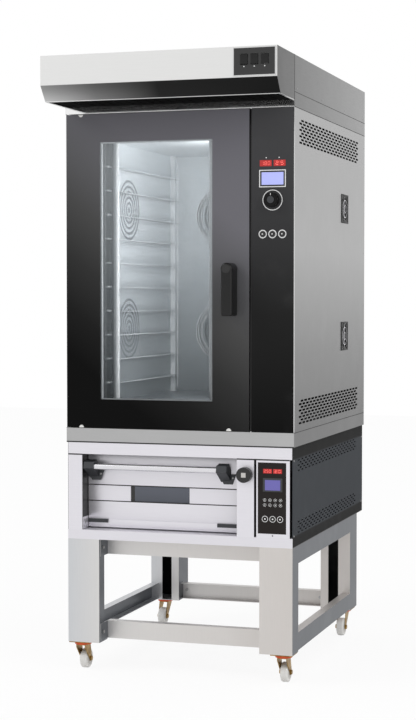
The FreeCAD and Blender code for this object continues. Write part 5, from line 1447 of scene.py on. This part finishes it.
@dataclass
class Cavity(Assembly):
    """Baking cavity with its racks, baffle, fans and lamps, in millimetres."""

    lamp_y: float = -250.0
    lamp_levels: Span = (1900.0, 1230.0)
    lamp_sink: float = 0.3
    lamp_profile: Tuple[Span, ...] = (
        (0.0, 0.0), (26.0, 0.0), (24.0, -4.0), (18.2, -8.0), (7.8, -10.0), (0.0, -10.5),
    )
    cover_radii: Tuple[float, ...] = (108.0, 122.0, 131.0)
    cover_width: float = 3.0
    cover_sheet: float = 1.5
    cover_edge: float = 0.4
    bead_x: Span = (-309.0, -305.0)
    bead_z: Span = (1075.0, 2060.0)
    bead_rise: float = 5.0
    bead_edge: float = 0.8
    stile_reach: float = 33.0
    stile_radius: float = 12.0
    stile_edge: float = 1.0
    stile_y: float = -381.0
    shade_front: float = -411.0
    shade_back: float = -368.3
    shade_reach: float = 22.0
    thin_sheet: float = 0.7
    wall_ring_y: float = -153.0
    wall_ring_z: Span = (1821.0, 1342.0)
    wall_ring_width: float = 10.0
    wall_ring_step: float = 22.0
    wall_ring_count: int = 6
    hook_levels: int = 10
    hook_first: float = 1130.0
    hook_pitch: float = 94.0
    hook_y: Span = (-406.0, -368.0)
    hook_reach: float = 9.0
    hook_height: float = 7.0
    hook_edge: float = 1.0

    FINISHES = (
        (CAVITY_STEEL, "oven_cavity", "fan_baffle"),
        (RACK_STEEL, "tray_racks"),
        (WHEEL_STEEL, *FAN_WHEELS),
        (MOTOR_PAINT, "fan_motors"),
        (HEATER, "heating_elements"),
    )

    def build(self) -> None:
        """Make the lamps, the tray guides' hooks, the baffle's bead and covers, and the walls' pieces."""
        low, high = corners("fan_baffle")
        lamps = Shape()
        for level in self.lamp_levels:
            lamps.turned(Axis.X, (high.x - self.lamp_sink, self.lamp_y, level), self.lamp_profile)
        lamps.piece("cavity_lamps", INDICATOR, Body.STACK, "clear_glass")

        hooks = Shape()
        front, back = self.hook_y
        for step in range(self.hook_levels):
            z = self.hook_first + step * self.hook_pitch
            for left in (low.x, high.x - self.hook_reach):
                right = left + self.hook_reach
                hooks.slab((left, front, z), (right, back, z + self.hook_height), self.hook_edge)
        hooks.piece("rack_hooks", BEAD_STEEL, Body.STACK, "cavity_steel")

        bead = Shape().slab(
            (self.bead_x[0], low.y - self.bead_rise, self.bead_z[0]),
            (self.bead_x[1], low.y, self.bead_z[1]),
            self.bead_edge,
        )
        bead.piece("baffle_bead", BEAD_STEEL, Body.STACK, "cavity_steel")

        covers = Shape()
        for wheel in FAN_WHEELS:
            x, _, z = middle(wheel)
            for radius in self.cover_radii:
                inner = radius - self.cover_width
                covers.ring(Axis.Y, (x, low.y, z), inner, radius, -self.cover_sheet, self.cover_edge)
        covers.piece("fan_covers", BEAD_STEEL, Body.STACK, "cavity_steel")
        self.shade_walls(low.x, high.x)
        self.reflection_rings(low.x)

    def shade_walls(self, left: float, right: float) -> None:
        """Make the dark strips of painted shade on the walls' front edges, and the front stiles of the
        racks.

        Args:
            left: The left wall's face.
            right: The right wall's face.
        """
        bottom, top = (corner.z for corner in corners("tray_racks"))
        back = self.shade_back
        shade_strips = Shape()
        stiles = Shape()
        for wall, side in ((left, 1), (right, -1)):
            # Painted shade: dark strips where the walls mirror the dark door
            near, far = sorted((wall, wall + side * self.thin_sheet))
            shade_strips.slab((near, self.shade_front, bottom), (far, back, top))
            near, far = sorted((wall + side * self.thin_sheet / 2, wall + side * self.shade_reach))
            shade_strips.slab((near, back - self.thin_sheet, bottom), (far, back, top))
            spot = (wall + side * self.stile_reach, self.stile_y, bottom)
            stiles.rod(Axis.Z, spot, self.stile_radius, top - bottom, self.stile_edge)
        shade_strips.piece("wall_shade_strips", GASKET, Body.STACK, "gasket_rubber")
        stiles.piece("rack_stiles", BEAD_STEEL, Body.STACK, "cavity_steel")

    def reflection_rings(self, wall: float) -> None:
        """Make rings in relief on the left wall, with dark grooves between them: a painted reflection of
        concentric rings seen on that wall.

        Args:
            wall: The wall's face.
        """
        width = self.wall_ring_width
        rings = Shape()
        grooves = Shape()
        for level in self.wall_ring_z:
            spot = (wall, self.wall_ring_y, level)
            for step in range(self.wall_ring_count):
                outer = (step + 1) * self.wall_ring_step
                inner = outer - width
                rings.ring(Axis.X, spot, inner, outer, self.thin_sheet)
                grooves.ring(Axis.X, spot, inner - width, inner, self.thin_sheet / 2)
        rings.piece("wall_reflection_rings", CAVITY_STEEL, Body.STACK, "cavity_steel")
        grooves.piece("wall_reflection_grooves", RING_REFLECTION_DARK, Body.STACK, "cavity_steel")


@dataclass(frozen=True)
class RedDisplays:
    """Two lit number displays side by side on a panel, in millimetres."""

    x: Span
    z: Span
    gap: float
    side_margin: float
    head_margin: float
    figures: Tuple[str, str]
    rise: float = 1.0
    figure_rise: float = 0.25
    edge: float = 0.5

    def build(self, panel: str, face: float) -> bpy.types.Object:
        """Make the lenses and their figures.

        Args:
            panel: The word that starts the pieces' names.
            face: The panel's front face.

        Returns:
            The lenses.
        """
        centre = sum(self.x) / 2
        spans = ((self.x[0], centre - self.gap / 2), (centre + self.gap / 2, self.x[1]))
        bottom, top = self.z
        front = face - self.rise
        lenses = Shape()
        figures = Shape()
        for (left, right), text in zip(spans, self.figures):
            lenses.slab((left, front, bottom), (right, face, top), self.edge)
            figures.digits(
                text,
                (left + self.side_margin, front - self.figure_rise, bottom + self.head_margin),
                (right - self.side_margin, front, top - self.head_margin),
            )
        made = lenses.piece(f"{panel}_red_displays", RED_LENS, Body.STACK, "display_red")
        figures.piece(f"{panel}_figures", RED_LIT, Body.STACK, "display_red")
        return made


@dataclass
class OvenControls(Assembly):
    """Control panel of the convection oven, in millimetres."""

    displays: RedDisplays = RedDisplays((325.5, 425.5), (1958.5, 1981.5), 8.0, 4.0, 5.0, ("180", "25"))
    lcd_x: Span = (323.5, 426.5)
    lcd_z: Span = (1880.0, 1945.0)
    lcd_inset: float = 9.0
    lcd_rise: float = 1.0
    lcd_edge: float = 0.4
    rim_rise: float = 1.6
    rim_width: float = 3.2
    ring_radius: float = 39.0
    ring_width: float = 3.0
    lamp_rise: float = 9.0
    lamp_radius: float = 2.2
    key_ring_radius: float = 16.0
    key_ring_width: float = 4.0
    print_rise: float = 0.35
    # The crown's profile: shares of the knob's radius, with heights
    crown: Tuple[Span, ...] = ((0.0, -1.0), (0.55, -1.2), (0.72, -3.0), (0.9, -2.0), (0.93, 0.0), (0.0, 0.0))
    rib_count: int = 24
    rib_reach: Span = (-0.6, 0.7)
    rib_depth: Span = (2.0, 22.0)
    rib_half: float = 1.1
    rib_edge: float = 0.4
    cap_share: float = 0.5
    cap_sink: float = 1.0
    cap_rise: float = 2.4
    cap_edge: float = 0.4
    mark_half: float = 1.0
    mark_shares: Span = (0.62, 0.9)
    mark_rise: float = 3.3
    mark_edge: float = 0.3
    dot_radius: float = 2.4
    dot_rise: float = 0.4
    dot_edge: float = 0.2

    FINISHES = (
        (PANEL_BLACK, "control_panels"),
        (BLACK_PLASTIC, *BUTTONS),
        (GLOSS_PLASTIC, "control_knob"),
    )

    def build(self) -> None:
        """Make the displays, the printed rings, the knob's cap and the buttons' dots."""
        face = corners("control_panels")[0].y
        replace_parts(self.displays.build("oven", face), "display_windows")
        rim = Shape().border(
            (self.lcd_x[0], face - self.rim_rise, self.lcd_z[0]),
            (self.lcd_x[1], face, self.lcd_z[1]),
            self.rim_width,
        )
        rim.piece("lcd_rim", SILVER_PRINT, Body.STACK, "panel_black")
        inset = self.lcd_inset
        screen = Shape().slab(
            (self.lcd_x[0] + inset, face - self.lcd_rise, self.lcd_z[0] + inset),
            (self.lcd_x[1] - inset, face, self.lcd_z[1] - inset),
            self.lcd_edge,
        )
        screen.piece("oven_lcd", LCD_BLUE, Body.STACK, "display_red")
        self.print_rings(face)
        self.cap_knob()
        self.mark_buttons()

    def print_rings(self, face: float) -> None:
        """Print rings round the knob and the buttons, and a lamp above each red display.

        Args:
            face: The panel's front face.
        """
        rise = -self.print_rise
        rings = Shape()
        x, _, z = middle("control_knob")
        rings.ring(Axis.Y, (x, face, z), self.ring_radius - self.ring_width, self.ring_radius, rise)
        outer = self.key_ring_radius
        for button in BUTTONS:
            x, _, z = middle(button)
            rings.ring(Axis.Y, (x, face, z), outer - self.key_ring_width, outer, rise)
        left, right = self.displays.x
        quarter = (right - left) / 4
        for x in (left + quarter, right - quarter):
            rings.rod(Axis.Y, (x, face, self.displays.z[1] + self.lamp_rise), self.lamp_radius, rise)
        rings.piece("control_rings", SILVER_PRINT, Body.STACK, "panel_black")

    def cap_knob(self) -> None:
        """Crown the knob with a dished, ribbed cap that has a pointer."""
        low, high = corners("control_knob")
        x, _, z = middle("control_knob")
        radius = (high.x - low.x) / 2
        profile = [(radius * share, height) for share, height in self.crown]
        crown = Shape().turned(Axis.Y, (x, low.y, z), profile)
        for step in range(self.rib_count):
            before = set(crown.mesh.verts)
            crown.slab(
                (radius + self.rib_reach[0], low.y + self.rib_depth[0], -self.rib_half),
                (radius + self.rib_reach[1], low.y + self.rib_depth[1], self.rib_half),
                self.rib_edge,
                1,
            )
            made = [vert for vert in crown.mesh.verts if vert not in before]
            turn = Matrix.Rotation(2 * math.pi * step / self.rib_count, 3, "Y")
            bmesh.ops.rotate(crown.mesh, cent=(0, 0, 0), matrix=turn, verts=made)
            bmesh.ops.translate(crown.mesh, vec=(x, 0, z), verts=made)
        crown.piece("knob_crown", GLOSS_PLASTIC, Body.CONTROL_KNOB, "knob_black")

        face = low.y - self.cap_sink
        cap = Shape().rod(Axis.Y, (x, face, z), radius * self.cap_share, -self.cap_rise, self.cap_edge)
        cap.piece("knob_cap", CHARCOAL_PLASTIC, Body.CONTROL_KNOB, "knob_black")
        bottom, top = (z + radius * share for share in self.mark_shares)
        mark = Shape().slab(
            (x - self.mark_half, low.y - self.mark_rise, bottom),
            (x + self.mark_half, face, top),
            self.mark_edge,
        )
        mark.piece("knob_mark", SILVER_PRINT, Body.CONTROL_KNOB, "panel_black")

    def mark_buttons(self) -> None:
        """Put a small raised dot on each push button."""
        for button in BUTTONS:
            x, _, z = middle(button)
            front = corners(button)[0].y
            dot = Shape().rod(Axis.Y, (x, front, z), self.dot_radius, -self.dot_rise, self.dot_edge)
            dot.piece(f"{button}_dot", SILVER_PRINT, button, "panel_black")


@dataclass
class DeckOven(Assembly):
    """Case, chamber and damper of the deck oven, in millimetres."""

    cap_half: float = 9.0
    cap_rise: float = 1.0
    cap_edge: float = 0.8
    screw_radius: float = 3.6
    screw_rise: float = 1.4
    screw_inset: float = 18.0
    screw_levels: Span = (567.0, 852.0)
    door_gap: float = 2.5
    joint_z: Span = (852.5, 857.5)
    joint_rise: float = 0.5
    joint_sink: float = 1.0
    joint_inset: float = 10.0
    pivot_y: Span = (-474.0, -420.0)
    pivot_z: Span = (562.0, 608.0)
    pivot_sheet: float = 1.5
    pivot_edge: float = 0.4
    pivot_screw: float = 6.0
    pivot_screw_rise: float = 0.8
    stud_spot: Span = (377.0, 568.0)
    stud_radius: float = 2.6
    stud_rise: float = 1.0
    stud_edge: float = 0.3

    FINISHES = (
        (DECK_STEEL, "deck_base_pan"),
        (REVEAL_STEEL, "deck_front_frame"),
        (DECK_PAINT, "deck_side_panels", "deck_top_cover"),
        (CAVITY_STEEL, "deck_chamber"),
        (SLAB_STONE, "deck_stone"),
        (CHARCOAL_PLASTIC, "cable_gland"),
        (BLACK_PLASTIC, "deck_damper_knob"),
    )

    def build(self) -> None:
        """Make the knob's insert, the case screws and the trim on the front."""
        x, _, z = middle("deck_damper_knob")
        front = corners("deck_damper_knob")[0].y
        half = self.cap_half
        rise = self.cap_rise
        insert = Shape().slab(
            (x - half, front - rise, z - half), (x + half, front + rise, z + half), self.cap_edge
        )
        insert.piece("damper_insert", HUB_NYLON, Body.DAMPER_KNOB, "panel_black")

        low, high = corners("deck_side_panels")
        screws = Shape()
        for y in (low.y + self.screw_inset, high.y - self.screw_inset):
            for z in self.screw_levels:
                screws.side_screws((low.x, high.x), y, z, self.screw_radius, self.screw_rise)
        screws.piece("deck_screws", BOLT_STEEL, Body.STACK, "bolt_steel")
        self.trim_front()

    def trim_front(self) -> None:
        """Make the seal under the head rail, the panel's stud and the pivot plate beside the door."""
        low, high = corners("deck_front_frame")
        door_low, door_high = corners("deck_door")
        wall = door_low.x - self.door_gap
        bottom, top = self.joint_z
        seal = Shape()
        for left, right in ((low.x, wall), (door_high.x + self.door_gap, high.x - self.joint_inset)):
            seal.slab((left, low.y - self.joint_rise, bottom), (right, low.y + self.joint_sink, top))
        x, z = self.stud_spot
        seal.rod(Axis.Y, (x, low.y, z), self.stud_radius, -self.stud_rise, self.stud_edge)
        seal.piece("deck_seal", GASKET, Body.STACK, "gasket_rubber")

        face = wall + self.pivot_sheet
        plate = Shape().slab(
            (wall, self.pivot_y[0], self.pivot_z[0]),
            (face, self.pivot_y[1], self.pivot_z[1]),
            self.pivot_edge,
        )
        plate.piece("pivot_plate", DOOR_STEEL, Body.STACK, "deck_steel")
        spot = (face, sum(self.pivot_y) / 2, sum(self.pivot_z) / 2)
        screw = Shape().screw(Axis.X, spot, self.pivot_screw, self.pivot_screw_rise)
        screw.piece("pivot_screw", BOLT_STEEL, Body.STACK, "bolt_steel")


@dataclass
class DeckDoor(Assembly):
    """Drop door of the deck oven with its face plates and fittings, in millimetres."""

    seams: Tuple[float, ...] = (597.0, 668.5, 731.5)
    seam_width: float = 4.0
    plate: float = 0.8
    plate_sink: float = 0.2
    plate_edge: float = 0.4
    margin: float = 1.5
    window_x: Span = (-215.0, 27.0)
    arm_width: float = 41.0
    arm_plate: float = 10.0
    screw_offset: float = 9.0
    screw_drop: float = 32.0
    screw_radius: float = 4.0
    screw_rise: float = 2.0

    FINISHES = (
        (DOOR_STEEL, "deck_door"),
        (DECK_GLASS, "deck_door_glass"),
        (TUBE_STEEL, "deck_handle_tube"),
        (CHARCOAL_PLASTIC, "deck_door_fittings"),
    )

    def build(self) -> None:
        """Make the face plates, the seams between them and the bracket screws."""
        low, high = corners("deck_door")
        half = self.seam_width / 2
        left = low.x + self.margin
        right = high.x - self.margin
        back = low.y + self.plate_sink
        levels = [low.z + self.margin - half, *self.seams, high.z - self.margin + half]
        window_row = len(self.seams) - 1
        plates = Shape()
        for row, (bottom, top) in enumerate(zip(levels, levels[1:])):
            spans = [(left, right)]
            if row == window_row:
                spans = [(left, self.window_x[0] - half), (self.window_x[1] + half, right)]
            for start, end in spans:
                plates.slab(
                    (start, low.y - self.plate, bottom + half), (end, back, top - half), self.plate_edge
                )
        plates.piece("deck_door_plates", DOOR_STEEL, Body.DECK_DOOR, "deck_steel")

        dark = Shape()
        for level in self.seams[1:]:
            dark.slab((left, low.y - self.plate / 2, level - half), (right, back, level + half))
        dark.piece("deck_door_seams", GASKET, Body.DECK_DOOR, "gasket_rubber")

        tube_low, tube_high = corners("deck_handle_tube")
        level = middle("deck_handle_tube").z - self.screw_drop
        screws = Shape()
        for arm in (tube_low.x, tube_high.x + self.arm_width):
            spot = (arm + self.screw_offset, low.y - self.arm_plate, level)
            screws.screw(Axis.Y, spot, self.screw_radius, -self.screw_rise)
        screws.piece("bracket_screws", BOLT_STEEL, Body.DECK_DOOR, "bolt_steel")


@dataclass
class DeckControls(Assembly):
    """Membrane panel of the deck oven, in millimetres."""

    displays: RedDisplays = RedDisplays((340.0, 413.5), (804.0, 821.0), 5.0, 3.0, 3.5, ("250", "20"))
    lcd_x: Span = (347.0, 407.0)
    lcd_z: Span = (740.0, 779.0)
    lcd_rise: float = 0.9
    bezel_x: Span = (339.0, 415.0)
    bezel_z: Span = (734.6, 786.3)
    bezel_rise: float = 0.5
    edge: float = 0.2
    key_columns: Tuple[float, ...] = (346.0, 366.7, 387.3, 408.0)
    key_rows: Span = (684.0, 703.0)
    key_radius: float = 6.0
    key_line: float = 0.9
    key_dot: float = 1.8
    ring_keys: Tuple[float, ...] = (347.0, 377.0, 406.0)
    ring_level: float = 631.0
    ring_radius: float = 12.0
    ring_line: float = 1.8
    ring_dot: float = 3.0
    print_rise: float = 0.3

    def build(self) -> None:
        """Make the displays and the printed keys."""
        face = corners("control_panels")[0].y
        self.displays.build("deck", face)
        bezel = Shape().slab(
            (self.bezel_x[0], face - self.bezel_rise, self.bezel_z[0]),
            (self.bezel_x[1], face, self.bezel_z[1]),
            self.edge,
        )
        bezel.piece("deck_lcd_bezel", CHARCOAL_PLASTIC, Body.STACK, "fitting_grey")
        screen = Shape().slab(
            (self.lcd_x[0], face - self.lcd_rise, self.lcd_z[0]),
            (self.lcd_x[1], face, self.lcd_z[1]),
            self.edge,
        )
        screen.piece("deck_lcd", LCD_VIOLET, Body.STACK, "display_red")

        keys = Shape()
        for x in self.key_columns:
            for z in self.key_rows:
                self.key(keys, (x, face, z), self.key_radius, self.key_line, self.key_dot)
        for x in self.ring_keys:
            self.key(keys, (x, face, self.ring_level), self.ring_radius, self.ring_line, self.ring_dot)
        keys.piece("deck_keys", SILVER_PRINT, Body.STACK, "panel_black")

    def key(self, shape: Shape, spot: Point, radius: float, line: float, dot: float) -> None:
        """Print one key: a ring with a dot in it.

        Args:
            shape: The shape that takes it.
            spot: The key's middle on the panel.
            radius: The ring's radius.
            line: The ring's width.
            dot: The dot's radius.
        """
        shape.ring(Axis.Y, spot, radius - line, radius, -self.print_rise)
        shape.rod(Axis.Y, spot, dot, -self.print_rise)


class Stand(Assembly):
    """Folded stand."""

    FINISHES = (
        (STAND_STEEL, "stand_legs", "stand_rails"),
        (BOLT_STEEL, "stand_bolts"),
    )


@dataclass
class Casters(Assembly):
    """Swivel casters with hub caps, in millimetres."""

    hub_radius: float = 25.0
    hub_bore: float = 9.5
    hub_rise: float = 0.8
    hub_edge: float = 0.3

    FINISHES = (
        (ZINC, "caster_plates", *(f"caster_fork_{spot}" for spot in CASTER_SPOTS)),
        (RED_PLASTIC, "caster_dust_rings"),
        (WHITE_NYLON, *(f"caster_wheel_{spot}" for spot in CASTER_SPOTS)),
    )

    def build(self) -> None:
        """Make a raised hub on both sides of each wheel."""
        for spot in CASTER_SPOTS:
            wheel = f"caster_wheel_{spot}"
            low, high = corners(wheel)
            _, y, z = middle(wheel)
            hub = Shape()
            for x, rise in ((low.x, -self.hub_rise), (high.x, self.hub_rise)):
                hub.ring(Axis.X, (x, y, z), self.hub_bore, self.hub_radius, rise, self.hub_edge)
            hub.piece(f"wheel_hub_{spot}", HUB_NYLON, wheel, "white_nylon")


@dataclass
class Studio:
    """Floor, light and camera, in metres and watts."""

    eye: Point = (2.0564, -6.5157, 1.4637)
    target: Point = (0.1213, -0.478, 1.2294)
    lens: float = 83.37
    sensor: float = 36.0
    floor_half: float = 14.0
    floor_tone: Colour = grey(245)
    floor_glow: float = 1.03
    floor_share: float = 0.86
    sky: float = 0.72
    key_place: Point = (-5.0, -4.0, 6.0)
    key_size: float = 3.2
    key_power: float = 95.0
    fill_place: Point = (4.6, -2.6, 3.4)
    fill_size: float = 3.0
    fill_power: float = 45.0
    oven_levels: Tuple[float, ...] = (1.2, 1.4, 1.6, 1.8, 1.98)
    oven_place: Span = (0.095, -0.3)
    oven_aim: Span = (-0.28, -0.05)
    oven_size: float = 0.12
    oven_power: float = 2.4

    def build(self) -> None:
        """Make the floor, the world, the lamps of the room and of the oven, and the camera."""
        self.floor()
        self.world()
        self.lamp("key_light", self.key_place, self.key_size, self.key_power, self.target)
        self.lamp("fill_light", self.fill_place, self.fill_size, self.fill_power, self.target)
        for level in self.oven_levels:
            place = (*self.oven_place, level)
            self.lamp("oven_light", place, self.oven_size, self.oven_power, (*self.oven_aim, level), False)
        self.camera()

    def floor(self) -> None:
        """Lay a pale floor that keeps the object's shadow."""
        mesh = bmesh.new()
        bmesh.ops.create_grid(mesh, x_segments=1, y_segments=1, size=self.floor_half)
        data = bpy.data.meshes.new("floor")
        mesh.to_mesh(data)
        mesh.free()
        ground = bpy.data.objects.new("floor", data)
        bpy.context.scene.collection.objects.link(ground)
        graph = Graph("pale_floor")
        share = self.seen(graph) * self.floor_share
        matt = graph.node("ShaderNodeBsdfDiffuse", {}, {"Color": self.floor_tone})
        glow = graph.node("ShaderNodeEmission", {}, {"Color": WHITE, "Strength": self.floor_glow})
        graph.end(graph.node("ShaderNodeMixShader", {}, {0: share, 1: matt, 2: glow}))
        data.materials.append(graph.owner)

    @staticmethod
    def seen(graph: Graph) -> Value:
        """A value of 1 for rays from the camera, from metal and through glass."""
        kinds = ("Is Camera Ray", "Is Glossy Ray", "Is Transmission Ray")
        camera, glossy, through = (graph.node("ShaderNodeLightPath", {}, {}, kind) for kind in kinds)
        return camera.math("MINIMUM", camera + glossy + through, 1.0)

    def world(self) -> None:
        """Light the room evenly and show white behind the object."""
        graph = Graph("room", Owner.ROOM)
        dim = graph.node("ShaderNodeBackground", {}, {"Color": WHITE, "Strength": self.sky})
        full = graph.node("ShaderNodeBackground", {}, {"Color": WHITE, "Strength": 1.0})
        graph.end(graph.node("ShaderNodeMixShader", {}, {0: self.seen(graph), 1: dim, 2: full}))
        bpy.context.scene.world = graph.owner

    @staticmethod
    def place(name: str, data: bpy.types.ID, spot: Point, aim: Point) -> bpy.types.Object:
        """Put a lamp or a camera in the room.

        Args:
            name: The object's name.
            data: The lamp's or the camera's data.
            spot: Where it is.
            aim: The point that it faces.

        Returns:
            The object.
        """
        made = bpy.data.objects.new(name, data)
        made.location = spot
        made.rotation_euler = (Vector(aim) - Vector(spot)).to_track_quat("-Z", "Y").to_euler()
        bpy.context.scene.collection.objects.link(made)
        return made

    def lamp(
        self, name: str, spot: Point, size: float, power: float, aim: Point, mirrored: bool = True
    ) -> None:
        """Hang a soft square lamp.

        Args:
            name: The lamp's name.
            spot: Where it hangs.
            size: Its side.
            power: Its power.
            aim: The point that it faces.
            mirrored: Whether shiny surfaces show it.
        """
        data = bpy.data.lights.new(name, "AREA")
        data.size = size
        data.energy = power
        self.place(name, data, spot, aim).visible_glossy = mirrored

    def camera(self) -> None:
        """Stand the camera where the photograph was taken from."""
        data = bpy.data.cameras.new("camera")
        data.sensor_width = self.sensor
        data.lens = self.lens
        bpy.context.scene.camera = self.place("camera", data, self.eye, self.target)


def main() -> None:
    """Dress the frame and build every sub-assembly in order."""
    logging.basicConfig(level=logging.INFO)
    bpy.context.scene.view_settings.view_transform = "Standard"
    stack = (
        Stand(), Casters(), DeckOven(), DeckDoor(), DeckControls(), OvenCase(), OvenDoor(), Cavity(),
        OvenControls(), Hood(),
    )
    for assembly in stack:
        assembly.dress()
    for assembly in (*stack, Studio()):
        assembly.build()
        LOG.info("built %s", type(assembly).__name__)


if __name__ == "__main__":
    main()
